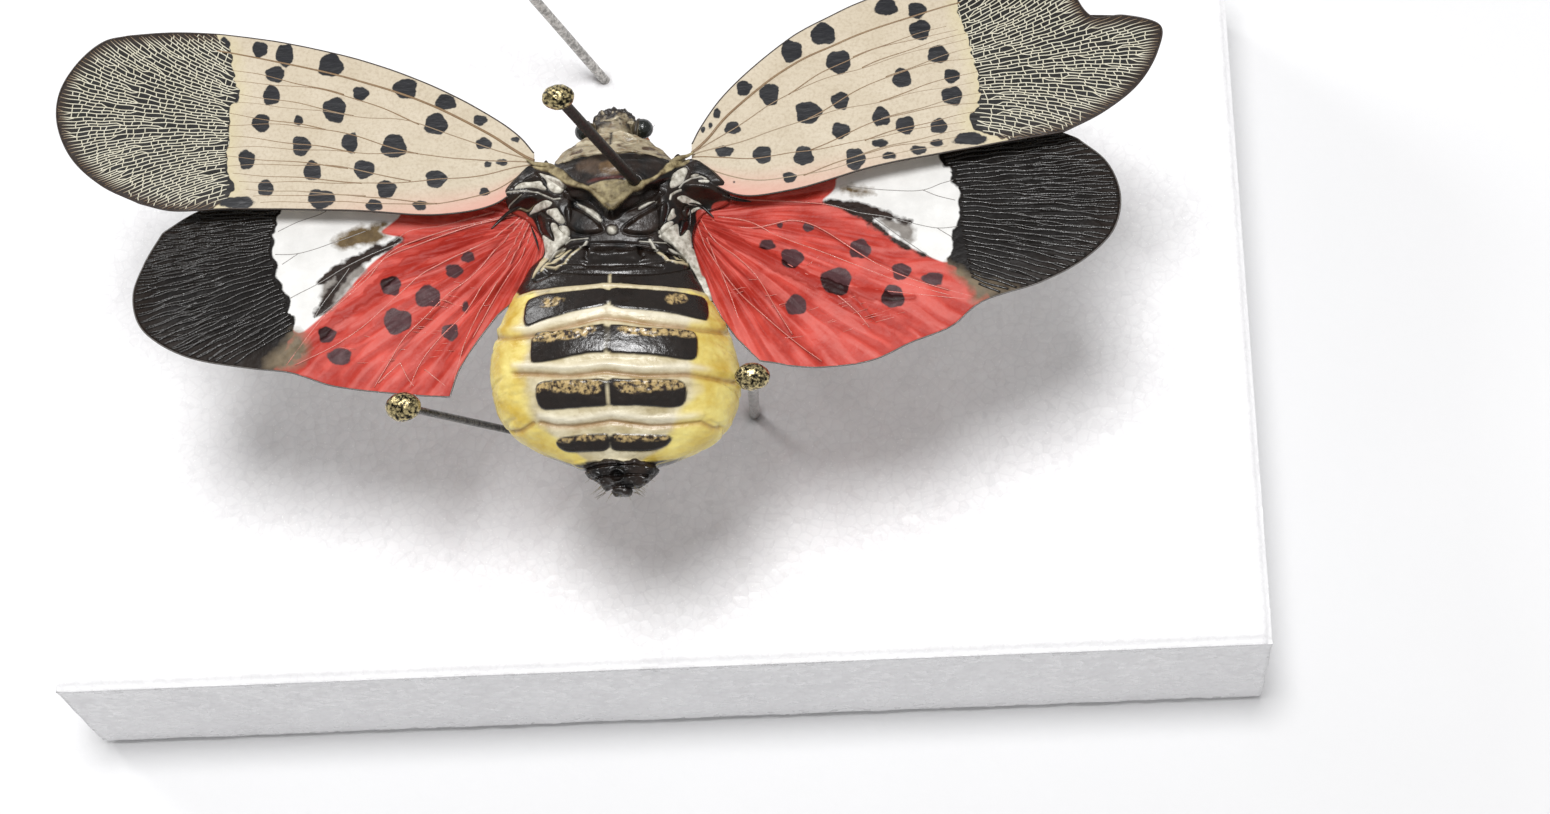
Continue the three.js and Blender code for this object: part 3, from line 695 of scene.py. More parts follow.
HIND_CREASES = {
    "left": [
        [(1400, 130), (1250, 300), (1120, 440), (980, 590), (880, 720)],
        [(1465, 120), (1380, 300), (1290, 460), (1210, 600)],
        [(1380, 100), (1150, 165), (1000, 195)],
    ],
    "right": [
        [(430, 378), (520, 425), (620, 480), (720, 525), (820, 570), (920, 605)],
        [(15, 340), (60, 425), (150, 515), (240, 590), (310, 680), (362, 768)],
        [(120, 560), (230, 650), (310, 735), (400, 812), (470, 868)],
        [(560, 600), (610, 660), (660, 715)],
        [(60, 320), (250, 300), (470, 300)],
    ],
}

# Lines of the hind wings, as read in the same crops: raised veins and folds over the red, and veins
# over the white
HIND_LINES = {
    "left": {
        "pale": [
            [
                (1440, 85), (1250, 130), (1050, 200), (930, 250), (870, 320), (780, 400), (700, 470),
                (570, 640),
            ],
            [(1440, 78), (1300, 112), (1100, 165), (960, 222), (900, 275), (800, 370), (690, 460)],
            [
                (1430, 95), (1300, 190), (1150, 260), (1060, 310), (960, 400), (860, 490), (760, 560),
                (600, 640),
            ],
            [
                (1440, 100), (1330, 220), (1240, 320), (1160, 380), (1080, 460), (1000, 540), (950, 620),
                (890, 720),
            ],
            [(1450, 100), (1370, 250), (1300, 330), (1220, 450), (1130, 540), (1060, 630), (1020, 720)],
            [(1465, 105), (1395, 250), (1330, 350), (1270, 450), (1220, 560), (1180, 700)],
            [(1478, 110), (1430, 240), (1370, 330), (1310, 430), (1250, 540)],
            [(1330, 80), (1150, 128), (1020, 150), (960, 190)],
            [(905, 705), (985, 630)],
            [(985, 630), (1015, 690), (1035, 715)],
            [(1075, 655), (1150, 715)],
            [(1130, 400), (1215, 425)],
        ],
        "grey": [
            [(540, 152), (610, 118), (700, 86), (740, 60)],
            [(530, 236), (615, 232), (750, 190), (860, 150)],
            [(555, 272), (615, 232)],
            [(585, 395), (690, 340), (780, 285), (880, 235), (990, 190)],
            [(672, 468), (700, 420), (790, 300), (800, 285)],
        ],
    },
    "right": {
        "pale": [
            [(20, 290), (180, 285), (330, 290), (480, 300), (600, 330)],
            [
                (170, 382), (260, 380), (360, 358), (440, 375), (580, 460), (680, 520), (800, 570),
                (1010, 630),
            ],
            [
                (30, 310), (130, 400), (210, 450), (320, 500), (440, 560), (560, 590), (700, 610),
                (1000, 640),
            ],
            [(20, 320), (80, 420), (170, 490), (240, 560), (300, 660), (365, 765)],
            [(15, 340), (60, 460), (130, 560), (200, 640), (290, 720), (400, 810), (470, 860)],
            [(100, 345), (200, 360), (330, 420), (470, 470), (600, 520), (760, 580), (930, 625)],
            [(440, 560), (520, 620), (600, 690), (640, 740)],
            [(60, 420), (110, 540), (150, 640), (190, 760)],
        ],
        "grey": [
            [(560, 236), (700, 250), (830, 250), (900, 225), (945, 213)],
            [(830, 250), (880, 270), (945, 286)],
            [(600, 330), (700, 345), (800, 370), (880, 385), (955, 380)],
            [(880, 385), (935, 418)],
            [(650, 345), (740, 410), (850, 485)],
        ],
    },
}
FIELD_NAMES = ["black", "white", "smear", "band", "patch", "olive", "fold"]
# The black end's ridges: where each starts along the white field's edge, and how far its line leans
RIDGES = {
    "left": (HIND_LEFT, [(545, 60), (520, 230), (600, 500)], (0.03, 0.2, 0.6), -560),
    "right": (HIND_RIGHT, [(890, 60), (950, 300), (1010, 590)], (-0.2, 0.02, 0.42), 650),
}
RIDGE_COUNT = 36
RIDGE_SHORTEST = 6
RIDGE_LIFT = 0.012
RIDGE_RADIUS = 0.062
RIDGE_TONE = 0.97
BRIDGE_RADIUS = 0.035
GREY_VEIN_RADIUS = 0.036
SHORT_VEINS = 26
SHORT_VEIN_RADIUS = 0.02
LINE_ROOM = 0.02


def spot_distance(points, spots):
    """Signed distance to the nearest edge of a set of uneven round spots."""
    crop, rows = spots
    places = crop.see(points)
    best = np.full(places.shape[:-1], 9.0)
    for k, (x, y, width, height) in enumerate(rows):
        dx = (places[..., 0] - x) / (width / 2)
        dy = (places[..., 1] - y) / (height / 2)
        turn = np.arctan2(dy, dx)
        reach = (np.abs(dx) ** 2.2 + np.abs(dy) ** 2.2) ** (1 / 2.2)
        uneven = 1 + 0.07 * np.sin(3 * turn + 2.1 * k) + 0.05 * np.sin(5 * turn + 1.3 * k)
        best = np.minimum(best, crop.mm((reach / uneven - 1) * min(width, height) / 2))
    return best


def vein_fan(base, ends, reach, rng):
    """Lines of (u, v) that leave base and fork towards ends; a fork's second line starts at the fork."""
    forks = [0.12, 0.28, 0.43, 0.52]
    lines = []

    def grow(knots, ends, level):
        if len(ends) == 1:
            lines.append(knots + [(reach, ends[0])])
            return
        half = len(ends) // 2
        fork = (forks[level] + rng.uniform(-0.03, 0.03), float(np.mean(ends)))
        grow(knots + [fork], ends[:half], level + 1)
        grow([fork], ends[half:], level + 1)

    grow([(0.0, base)], ends, 1)
    return lines


FORE_GROUPS = [
    (0.22, [0.05, 0.1, 0.15]),
    (0.42, [0.2, 0.25, 0.3, 0.35]),
    (0.52, [0.4, 0.46, 0.51, 0.57]),
    (0.6, [0.62, 0.67, 0.72, 0.78]),
]
COSTAL_LINE = [
    (0.0, 0.62), (0.05, 0.7), (0.12, 0.8), (0.25, 0.85), (0.45, 0.853), (0.62, 0.858), (0.74, 0.87),
]
VEIN_END = 0.68
NET_PITCH = 0.24
NET_WIDEST = 0.26
NET_RADIUS = 0.038
BAR_SPACING = (0.3, 0.62)
CROSS_VEINS = 40


def inside_margin(wing, plan, room):
    return distance_to(plan, wing.outline, closed=True) < -room


def network(build, wing, axis, border, rng):
    """The fine network of a fore wing's end: lines that fork towards the margin, and short bars."""
    crop, start, tip = axis
    root, apex = crop.find([start, tip], wing.level)[:, :2]
    length = np.linalg.norm(apex - root)
    along = (apex - root) / length
    across = np.array([-along[1], along[0]])

    def spread(x):
        return np.exp(0.127 * x + 0.0049 * x * x)

    reach = np.linspace(-2, length + 4, 400)
    spreads = spread(reach)

    def place(x, lane):
        x = np.asarray(x, float)
        wave = 0.02 * np.sin(x * 5 + lane * 9)
        return root + x[..., None] * along + (lane * spread(x) + wave)[..., None] * across

    lines = []
    bars = []

    def cross(low, high, start, end):
        x = start + rng.uniform(0.1, 0.6)
        while x < end:
            skew = rng.uniform(-0.07, 0.07)
            bars.append((place(x, low), place(x + skew, high)))
            x += rng.uniform(*BAR_SPACING)

    def divide(low, high, start):
        fork = np.interp(NET_WIDEST * rng.uniform(0.85, 1.2) / (high - low), spreads, reach)
        if fork > length + 1.5:
            cross(low, high, start, length + 1.5)
            return
        fork = max(fork, start + 0.2)
        middle = low + (high - low) * rng.uniform(0.44, 0.56)
        cross(low, high, start, fork - 0.15)
        lines.append((middle, fork - 0.2, low if rng.random() < 0.5 else high))
        divide(low, middle, fork)
        divide(middle, high, fork)

    lanes = np.arange(-5.6, 5.6, NET_PITCH)
    lanes = lanes + rng.uniform(-0.03, 0.03, len(lanes))
    starts = -0.4 + rng.uniform(-0.2, 0.25, len(lanes))
    for lane, begin in zip(lanes, starts):
        lines.append((lane, begin, None))
    for low, high, a, b in zip(lanes, lanes[1:], starts, starts[1:]):
        divide(low, high, max(a, b))
    for lane, begin, parent in lines:
        x = np.arange(begin, length + 3, 0.16)
        lane_at = lane if parent is None else parent + (lane - parent) * smoothstep(0, 0.32, x - begin)
        plan = place(x, lane_at)
        kept = np.flatnonzero(~inside_margin(wing, plan, 0.02))
        last = kept[0] if len(kept) else len(plan)
        if last < 3:
            first = np.flatnonzero(inside_margin(wing, plan, 0.02))
            if len(first) < 3:
                continue
            plan = plan[first[0] : first[-1] + 1]
        else:
            plan = plan[:last]
        plan = plan[region(crop, wing.over(plan), border) < 0.06]
        if len(plan) < 3:
            continue
        worn = smoothstep(0.6, 0.1, -distance_to(plan, wing.outline, closed=True))
        tone = 0.15 * rng.random() + 0.5 * worn
        radius = NET_RADIUS * (1 - 0.3 * worn)
        tube(build, wing.over(plan), radius, tone=tone)
    ends = np.array([[a, b] for a, b in bars])
    middle = ends.mean(1)
    margin = -distance_to(middle, wing.outline, closed=True)
    far = (middle - root) @ along > 0.5 * length
    keep = (margin > np.where(far, 0.6, 0.12)) & (rng.random(len(ends)) > 0.04)
    keep &= region(crop, wing.over(middle), border) < 0
    for a, b in ends[keep]:
        tube(build, wing.over(np.array([a, (a + b) / 2, b])), NET_RADIUS, tone=0.15 * rng.random())


def margin_tube(build, wing, radius, tone, lift=0.0):
    line = np.vstack([wing.trailing[::3], wing.outer[3::3], wing.leading[-4::-3]])
    tube(build, wing.over(line, lift), radius, sides=6, tone=tone)


def fore_wing(label, wing, seed):
    rng = np.random.default_rng(seed)
    rows, columns = ((250, 112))
    u, v = np.meshgrid(np.linspace(0, 1, rows), np.linspace(0, 1, columns), indexing="ij")
    points = wing.at(u, v)
    net_crop, border = NET_BORDERS[label]
    net = region(net_crop, points, border) + 0.1 * grain(points[..., :2], 0.2, seed)
    rim = -distance_to(points[..., :2], wing.outline, closed=True)
    sheet = Build()
    slab(
        sheet,
        points,
        0.05 - 0.02 * smoothstep(0.1, -0.1, net),
        spot=spot_distance(points, SPOTS["fore_" + label]),
        net=net,
        rim=rim,
        blush=smoothstep(0.34, 0.02, v + 0.25 * u) * smoothstep(0.75, 0.1, u),
    )
    sheet.piece(f"forewing_{label}_membrane", [LOOKS["fore"]], [f"forewing_{label}"])
    veins = Build()
    for base, ends in FORE_GROUPS:
        for line in vein_fan(base, ends, VEIN_END, rng):
            line = curve_through(line, 50)
            wave = 0.004 * np.sin(line[:, 0] * 40 + 9 * rng.random())
            path = wing.at(line[:, 0], line[:, 1] + wave)
            path = path[region(net_crop, path, border) > -0.05]
            tube(veins, path, np.linspace(0.056, 0.036, len(path)), tone=0.5 + 0.25 * rng.random())
    line = curve_through(COSTAL_LINE, 90)
    tube(veins, wing.at(line[:, 0], line[:, 1]), np.linspace(0.085, 0.05, 91), sides=6, tone=0.75)
    for _ in range(CROSS_VEINS):
        u0, v0 = rng.uniform(0.3, 0.64), rng.uniform(0.08, 0.78)
        steps = np.linspace(0, 0.065, 4)
        path = wing.at(u0 + steps * rng.uniform(-0.15, 0.15), v0 + steps)
        tube(veins, path, 0.022, tone=0.5)
    network(veins, wing, NET_AXES[label], border, rng)
    margin_tube(veins, wing, 0.045, 1.0)
    veins.piece(f"forewing_{label}_veins", [LOOKS["fore_veins"]])


def black_ridges(build, wing, ridges, black, rng):
    """The ridges that fan out over a hind wing's black end, each with a shorter one beside it."""
    crop, starts, leans, reach = ridges
    starts = np.array(starts, float)
    previous = None
    for row in np.linspace(0, 2, RIDGE_COUNT):
        begin = [np.interp(row, (0, 1, 2), starts[:, k]) for k in (0, 1)]
        lean = np.interp(row, (0, 1, 2), leans)
        for late, offset in ((0.0, 0.0), (0.3 + 0.25 * rng.random(), 0.5)):
            run = np.linspace(late, 1, 60)
            parting = offset * (8 + 9 * run) * smoothstep(0, 0.12, run - late)
            away = begin[1] + lean * abs(reach) * run + parting
            wave = 3 * np.sin(run * 14 + 9 * rng.random()) + 2 * np.sin(run * 31 + 9 * rng.random())
            path = crop.find(np.stack([begin[0] + reach * run, away + wave], -1), wing.level)
            keep = (region(crop, path, black) < -0.05) & inside_margin(wing, path[:, :2], 0.04)
            path = path[keep]
            if len(path) <= RIDGE_SHORTEST:
                continue
            path[:, 2] += RIDGE_LIFT
            tube(build, path, RIDGE_RADIUS - 0.012 * run[keep], sides=8, tone=RIDGE_TONE)
            if previous is not None and len(previous) > 20:
                for _ in range(2):
                    k = rng.integers(3, min(len(path), len(previous)) - 3)
                    tube(build, np.linspace(previous[k], path[k], 3), BRIDGE_RADIUS, tone=RIDGE_TONE)
            previous = path


def hind_wing(label, wing, seed):
    rng = np.random.default_rng(seed)
    rows, columns = ((160, 210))
    u, v = np.meshgrid(np.linspace(0, 1, rows), np.linspace(0, 1, columns), indexing="ij")
    points = wing.at(u, v)
    crop, fields = HIND_FIELDS[label]

    def field(name, places):
        ragged = 0.1 * layered(places[..., :2], 0.35, seed + 4) if name != "white" else 0.0
        return region(crop, places, fields[name]) + ragged

    masks = {name: field(name, points) for name in FIELD_NAMES}
    wrinkles = wing.wrinkles(points[..., :2])
    creases = np.minimum.reduce([stroke(crop, points, line) for line in HIND_CREASES[label]])
    points[..., 2] += 0.07 * smoothstep(0.1, -0.1, masks["fold"]) - 0.06 * hump(creases, 0.1)
    red_part = smoothstep(0.0, 0.2, np.minimum(masks["black"], masks["white"]))
    points[..., 2] += 0.025 * wrinkles * red_part
    sheet = Build()
    slab(
        sheet,
        points,
        0.035,
        spot=spot_distance(points, SPOTS["hind_" + label]),
        rim=-distance_to(points[..., :2], wing.outline, closed=True),
        # Distance to the creases, which paints shade along them
        crease=creases,
        # The wrinkle mask paints a highlight on the wrinkles' crests and shade in their hollows
        wrinkle=wrinkles,
        **masks,
    )
    sheet.piece(f"hindwing_{label}_membrane", [LOOKS["hind"]], [f"hindwing_{label}"])

    def tone_at(path):
        """0 over the red, 0.5 over the white and 1 over the black."""
        black = smoothstep(0.05, -0.1, region(crop, path, fields["black"]))
        white = smoothstep(0.1, -0.05, region(crop, path, fields["white"]))
        return np.maximum(black, 0.5 * white)

    def flat_line(line, count):
        path = curve_through(crop.find(line, wing.level)[:, :2], count)
        return path[inside_margin(wing, path, LINE_ROOM)]

    veins = Build()
    for line in HIND_LINES[label]["pale"]:
        path = flat_line(line, 60)
        tube(veins, wing.over(path, 0.01), np.linspace(0.05, 0.028, len(path)), tone=tone_at(wing.over(path)))
    for line in HIND_LINES[label]["grey"]:
        tube(veins, wing.over(flat_line(line, 40)), GREY_VEIN_RADIUS, tone=0.5)
    black_ridges(veins, wing, RIDGES[label], fields["black"], rng)
    for _ in range(SHORT_VEINS):
        u0, v0 = rng.uniform(0.35, 0.9), rng.uniform(0.03, 0.4)
        path = wing.at(u0 + np.linspace(0, 0.02, 4), v0 + np.linspace(0, rng.uniform(0.03, 0.07), 4))
        tube(veins, path, SHORT_VEIN_RADIUS, tone=tone_at(path))
    margin_tube(veins, wing, 0.035, 0.75)
    veins.piece(f"hindwing_{label}_veins", [LOOKS["hind_veins"]])


# Body
class Section:
    """A cross-section: half width, heights, and the powers that round its upper and its lower half."""

    def __init__(self, half, level, top, low, rounds=(1.0, 1.0), flats=(1.0, 1.0)):
        self.half = half
        self.level = level
        self.top = top
        self.low = low
        self.rounds = rounds
        self.flats = flats


def block(front, rear, section, sides, rings, axis=AXIS_X, lip=0.15, cap_rings=10):
    """A body block between a front and a rear edge over x: its points, and how far up and along each is."""
    cap = np.sin(np.linspace(0.05, 1, cap_rings, endpoint=False) * np.pi / 2)
    scale = np.concatenate([cap, np.ones(rings), cap[::-1]])[:, None]
    t = np.concatenate([np.zeros(cap_rings), np.linspace(0, 1, rings), np.ones(cap_rings)])[:, None]
    angle = 2 * np.pi * np.arange(sides)[None, :] / sides
    c, s = np.cos(angle), np.sin(angle)
    shape = section(t)
    power = np.where(s >= 0, *shape.rounds)
    x = shape.half * np.sign(c) * np.abs(c) ** power * scale
    setback = lip * scale**8
    y = front(x) - setback
    y = y + (rear(x) + setback - y) * t
    top = shape.top(x, y) if callable(shape.top) else shape.top
    rise = np.where(s >= 0, top - shape.level, shape.level - shape.low)
    flat = np.where(s >= 0, *shape.flats)
    z = shape.level + rise * np.sign(s) * np.abs(s) ** flat
    middle = (top + shape.low) / 2
    z = middle + (z - middle) * scale
    points = np.stack(np.broadcast_arrays(axis + x, y, z), -1)
    return points, np.broadcast_to(s, x.shape), np.broadcast_to(t, x.shape)


def closed_block(build, points, relief, slot=0, **masks):
    normal = grid_normals(points, wrap=True)
    middle = points.reshape(-1, 3).mean(0)
    normal *= np.sign((normal * (points - middle)).sum(-1).mean())
    points = points + normal * relief[..., None]
    rings, sides = points.shape[:2]
    last = (rings - 1) * sides
    faces = grid_faces(rings, sides, wrap=True).tolist()
    faces += [list(range(sides)), list(range(last, last + sides))]
    build.add_mixed(points.reshape(-1, 3), faces, slot, **masks)


def pronotum_front(x):
    return 4.45 - 0.18 * x * x


def pronotum_rear(x):
    return 2.95 - 0.045 * x * x


def scutellum_edge(x):
    out = np.abs(x)
    return np.minimum(0.1 + 0.75 * out + 0.45 * (1 - np.exp(-out / 0.4)), 1.75)


def density(count):
    return count


def union(crop, points, outlines):
    return np.minimum.reduce([region(crop, points, outline) for outline in outlines])


def strokes(crop, points, lines):
    return np.minimum.reduce([stroke(crop, points, line) for line in lines])


# Markings of the thorax. V_EDGE is the rear edge of the raised front plate, and the band lies along it
V_EDGE = [
    (293, 427), (316, 447), (376, 458), (413, 482), (469, 522), (530, 542), (608, 556), (650, 600),
    (690, 645), (735, 680), (800, 620), (850, 575), (896, 540), (965, 510), (1026, 472), (1072, 452),
    (1114, 429), (1170, 410),
]
V_BAND = [
    (1175, 380), (1147, 362), (1100, 382), (1049, 410), (1035, 429), (990, 479), (896, 518), (850, 535),
    (790, 585), (735, 640), (690, 600), (650, 562), (608, 538), (539, 515), (492, 478), (460, 445),
    (399, 418), (345, 425), (295, 412),
] + V_EDGE
V_CENTRE = [
    (600, 540), (640, 525), (690, 505), (740, 500), (800, 505), (860, 500), (900, 520), (850, 565),
    (790, 625), (735, 675), (690, 635), (650, 590),
]
AMBER = [(680, 400), (770, 392), (785, 440), (780, 470), (700, 478), (664, 440)]
UMBER = [(540, 400), (610, 385), (680, 392), (668, 440), (700, 476), (620, 470), (545, 455)]
RED_STRIP = [(590, 520), (640, 494), (726, 480), (800, 484), (860, 490), (726, 492), (640, 508)]
HINGE_LEFT = Crop(485, 150, 12.06)
HINGE_RIGHT = Crop(640, 150, 12.06)
HEAD = Crop(560, 90, 13.067)
PALE = [
    (HINGE_LEFT, [
        (640, 270), (720, 298), (800, 310), (880, 340), (930, 400), (962, 440), (930, 512), (860, 522),
        (790, 490), (745, 440), (752, 380), (700, 325),
    ]),
    (HINGE_LEFT, [
        (395, 415), (470, 385), (560, 385), (650, 370), (690, 392), (700, 430), (742, 455), (740, 485),
        (640, 460), (540, 450), (440, 462), (340, 480),
    ]),
    (HINGE_LEFT, [
        (560, 720), (590, 680), (640, 642), (740, 600), (822, 630), (780, 682), (700, 710), (620, 742),
        (530, 780),
    ]),
    (HINGE_LEFT, [
        (740, 722), (800, 712), (870, 690), (900, 760), (950, 820), (972, 882), (900, 892), (850, 850),
        (800, 790), (752, 770),
    ]),
    (HINGE_LEFT, [(880, 912), (990, 910), (1022, 980), (1012, 1042), (950, 1010), (900, 955)]),
    (HINGE_LEFT, [
        (790, 872), (870, 885), (885, 955), (960, 1015), (1042, 1062), (960, 1112), (880, 1182),
        (820, 1252), (770, 1322), (680, 1422), (555, 1575), (600, 1470), (660, 1370), (722, 1280),
        (732, 1200), (702, 1100), (692, 1012), (760, 1062), (812, 1102), (842, 1102), (836, 1010),
        (802, 962),
    ]),
    (HINGE_LEFT, [(842, 1292), (880, 1222), (980, 1165), (962, 1240), (902, 1282), (860, 1302)]),
    (HINGE_LEFT, [
        (1088, 628), (1182, 668), (1282, 708), (1382, 780), (1424, 885), (1340, 832), (1250, 762),
        (1160, 702),
    ]),
    (HINGE_RIGHT, [
        (420, 270), (470, 240), (562, 208), (572, 270), (540, 332), (522, 382), (450, 432), (370, 462),
        (355, 420), (390, 332), (400, 280),
    ]),
    (HINGE_RIGHT, [(600, 318), (660, 288), (730, 292), (660, 330)]),
    (HINGE_RIGHT, [(690, 372), (760, 358), (840, 360), (830, 392), (740, 392)]),
    (HINGE_RIGHT, [
        (430, 580), (500, 540), (590, 570), (660, 610), (722, 640), (764, 686), (680, 660), (560, 652),
        (490, 622),
    ]),
    (HINGE_RIGHT, [(556, 802), (588, 732), (680, 690), (742, 692), (690, 722), (620, 762)]),
    (HINGE_RIGHT, [(325, 842), (368, 742), (402, 690), (410, 760), (445, 800), (342, 852)]),
    (HINGE_RIGHT, [(218, 1012), (230, 960), (300, 880), (395, 848), (402, 900), (330, 962), (250, 1012)]),
    (HINGE_RIGHT, [
        (405, 900), (450, 878), (470, 962), (462, 1042), (520, 1030), (582, 950), (602, 1000), (612, 1080),
        (622, 1180), (650, 1290), (690, 1400), (765, 1575), (715, 1575), (620, 1422), (560, 1312),
        (500, 1242), (420, 1162), (330, 1082), (240, 1062), (222, 1022), (320, 968),
    ]),
    (HINGE_RIGHT, [(330, 1178), (400, 1198), (505, 1268), (400, 1242)]),
    (HINGE_RIGHT, [(-20, 678), (60, 640), (140, 612), (235, 592), (120, 640), (60, 682), (-20, 722)]),
    (THORAX, [
        (1138, 880), (1200, 880), (1246, 1000), (1280, 1090), (1306, 1180), (1270, 1180), (1225, 1085),
        (1190, 1015),
    ]),
]
RAISED = [
    (HINGE_LEFT, [
        (622, 772), (700, 732), (742, 790), (842, 840), (782, 862), (802, 962), (832, 1052), (820, 1102),
        (740, 1042), (680, 982), (650, 862),
    ]),
    (HINGE_LEFT, [(450, 372), (560, 312), (620, 262), (680, 332), (662, 372), (565, 378)]),
    (HINGE_RIGHT, [(490, 832), (540, 852), (590, 832), (572, 932), (522, 1012), (482, 1042), (460, 1002)]),
    (HINGE_RIGHT, [(552, 662), (640, 672), (602, 762), (570, 830), (500, 760), (520, 690)]),
    (THORAX, [
        (480, 640), (560, 665), (640, 710), (695, 770), (690, 800), (600, 815), (520, 800), (480, 740),
    ]),
    (THORAX, [
        (1060, 615), (980, 655), (900, 695), (810, 755), (790, 795), (850, 815), (960, 815), (1030, 760),
    ]),
    (THORAX, [(480, 560), (600, 570), (680, 660), (690, 720), (620, 660), (540, 620), (470, 600)]),
    (THORAX, [(1060, 560), (960, 560), (850, 600), (800, 650), (770, 700), (860, 660), (960, 620)]),
    (THORAX, [
        (590, 872), (700, 862), (800, 862), (890, 875), (895, 930), (800, 950), (690, 952), (600, 940),
    ]),
]
LOBES = [
    (HINGE_LEFT, [
        (330, 652), (402, 562), (482, 512), (600, 510), (662, 562), (650, 622), (562, 692), (442, 722),
        (340, 702),
    ]),
    (HINGE_RIGHT, [
        (490, 432), (560, 382), (660, 362), (860, 382), (960, 442), (1012, 502), (1032, 562), (960, 622),
        (860, 602), (742, 592), (622, 562), (530, 522),
    ]),
]
TUBERCLE = (THORAX, [(712, 770), (735, 757), (768, 767), (764, 808), (720, 810)])
THIN_LINES = [
    (HINGE_LEFT, 0.045, [
        (230, 505), (330, 500), (500, 492), (640, 508), (745, 555), (830, 592), (905, 582),
    ]),
    # This line is a painted highlight: a glint drawn as a pale line
    (HINGE_LEFT, 0.04, [(110, 775), (230, 722), (345, 612), (440, 535)]),
    (HINGE_LEFT, 0.07, [(725, 1412), (850, 1420), (960, 1352), (1040, 1262), (1130, 1200), (1225, 1105)]),
    (HINGE_LEFT, 0.045, [(700, 1440), (780, 1335), (850, 1232), (960, 1140), (1030, 1085), (1240, 1062)]),
    (HINGE_RIGHT, 0.045, [(470, 450), (520, 392), (620, 342), (740, 318), (800, 345)]),
    (HINGE_RIGHT, 0.06, [(360, 590), (372, 540), (430, 502), (490, 478)]),
    (HINGE_RIGHT, 0.08, [(120, 1085), (215, 1235), (330, 1312), (440, 1368), (580, 1345)]),
    (HINGE_RIGHT, 0.045, [(0, 1100), (150, 1108), (330, 1120), (420, 1190), (510, 1260), (575, 1330)]),
]
RED_ROOT = [
    (HINGE_LEFT, [
        (510, 790), (590, 830), (660, 1000), (700, 1130), (720, 1240), (640, 1380), (400, 1600),
        (-200, 1600), (-200, 760), (300, 690), (500, 745),
    ]),
    (HINGE_RIGHT, [
        (660, 740), (760, 700), (860, 760), (860, 640), (1030, 600), (1500, 620), (1500, 1600), (770, 1600),
        (700, 1400), (640, 1200), (620, 1000), (680, 880),
    ]),
]


def nearest(points, areas):
    """Signed distance to the nearest of several outlines, each with its own crop."""
    return np.minimum.reduce([region(crop, points, outline) for crop, outline in areas])


def raised_plate(x, y):
    """Signed distance in front of the V edge, at the height of the front plate."""
    outline = [(-400, 380)] + V_EDGE + [(1900, 360), (1900, -900), (-400, -900)]
    points = np.stack(np.broadcast_arrays(x, y, 1.95), -1)
    return region(THORAX, points, outline)


def back_pattern(points):
    """Masks and relief of the thorax's upper side, for each piece that shows a part of it."""
    ripple = 0.03 * layered(points, 0.3, 7)
    pale = nearest(points, PALE) + 0.6 * ripple
    # The thin lines include one painted highlight, a glint drawn as a pale line
    pale = np.minimum(pale, thin_distance(points, THIN_LINES) + 0.02)
    raised = nearest(points, RAISED)
    lobes = nearest(points, LOBES)
    knob = nearest(points, [TUBERCLE])
    band = region(THORAX, points, V_BAND)
    centre = region(THORAX, points, V_CENTRE)
    tan = np.minimum(band, centre)
    amber = region(THORAX, points, AMBER) + ripple
    umber = region(THORAX, points, UMBER) + 2 * ripple
    red = region(THORAX, points, RED_STRIP) + ripple
    root = nearest(points, RED_ROOT)
    relief = 0.06 * smoothstep(0.03, -0.05, band) + 0.04 * smoothstep(0.02, -0.03, pale)
    relief += 0.16 * smoothstep(0.03, -0.2, raised) + 0.42 * smoothstep(0.02, -0.45, lobes)
    relief += 0.16 * smoothstep(0.06, -0.12, knob) - 0.05 * hump(np.abs(pale), 0.05)
    relief -= 0.05 * hump(raised, 0.05)
    relief += 0.025 * layered(points * [1, 1.8, 1], 0.7, 11, 2) * smoothstep(0.0, 0.1, tan)
    relief += 0.03 * layered(points * [1.6, 1, 1], 0.3, 12, 3) * smoothstep(0.05, -0.05, tan)
    relief -= 0.08 * hump(line_distance(points, FRONT_GROOVES), 0.07)
    masks = {
        "pale": np.maximum(smoothstep(0.015, -0.03, pale), smoothstep(0.03, -0.05, knob)),
        "tan": smoothstep(0.03, -0.04, tan + ripple),
        "amber": smoothstep(0.08, -0.08, amber),
        "umber": smoothstep(0.12, -0.15, umber),
        "red": np.maximum(0.2 * smoothstep(0.08, -0.08, red), smoothstep(0.02, -0.05, root)),
    }
    return masks, relief


PRONOTUM_EDGES = [
    (THORAX, [
        (370, 400), (440, 428), (540, 402), (640, 378), (740, 371), (870, 380), (1020, 405), (1090, 402),
        (1130, 345),
    ]),
    (THORAX, [(395, 390), (450, 350), (530, 302)]),
    (THORAX, [(1120, 345), (1060, 308), (980, 272)]),
    (HEAD, [(660, 530), (664, 600), (666, 690)]),
    (HEAD, [(0, 982), (60, 1002), (200, 962), (400, 912), (580, 872)]),
]
PRONOTUM_MARKS = [
    (HEAD, [(118, 856), (180, 800), (300, 772), (292, 802), (200, 832), (132, 864)]),
    (HEAD, [(1078, 738), (1160, 745), (1240, 758), (1254, 794), (1160, 772), (1090, 768)]),
    (HEAD, [(735, 715), (790, 712), (806, 740), (768, 742)]),
    (HEAD, [(590, 640), (625, 632), (640, 655), (600, 662)]),
    (HEAD, [(1260, 820), (1330, 840), (1400, 872), (1330, 868)]),
]
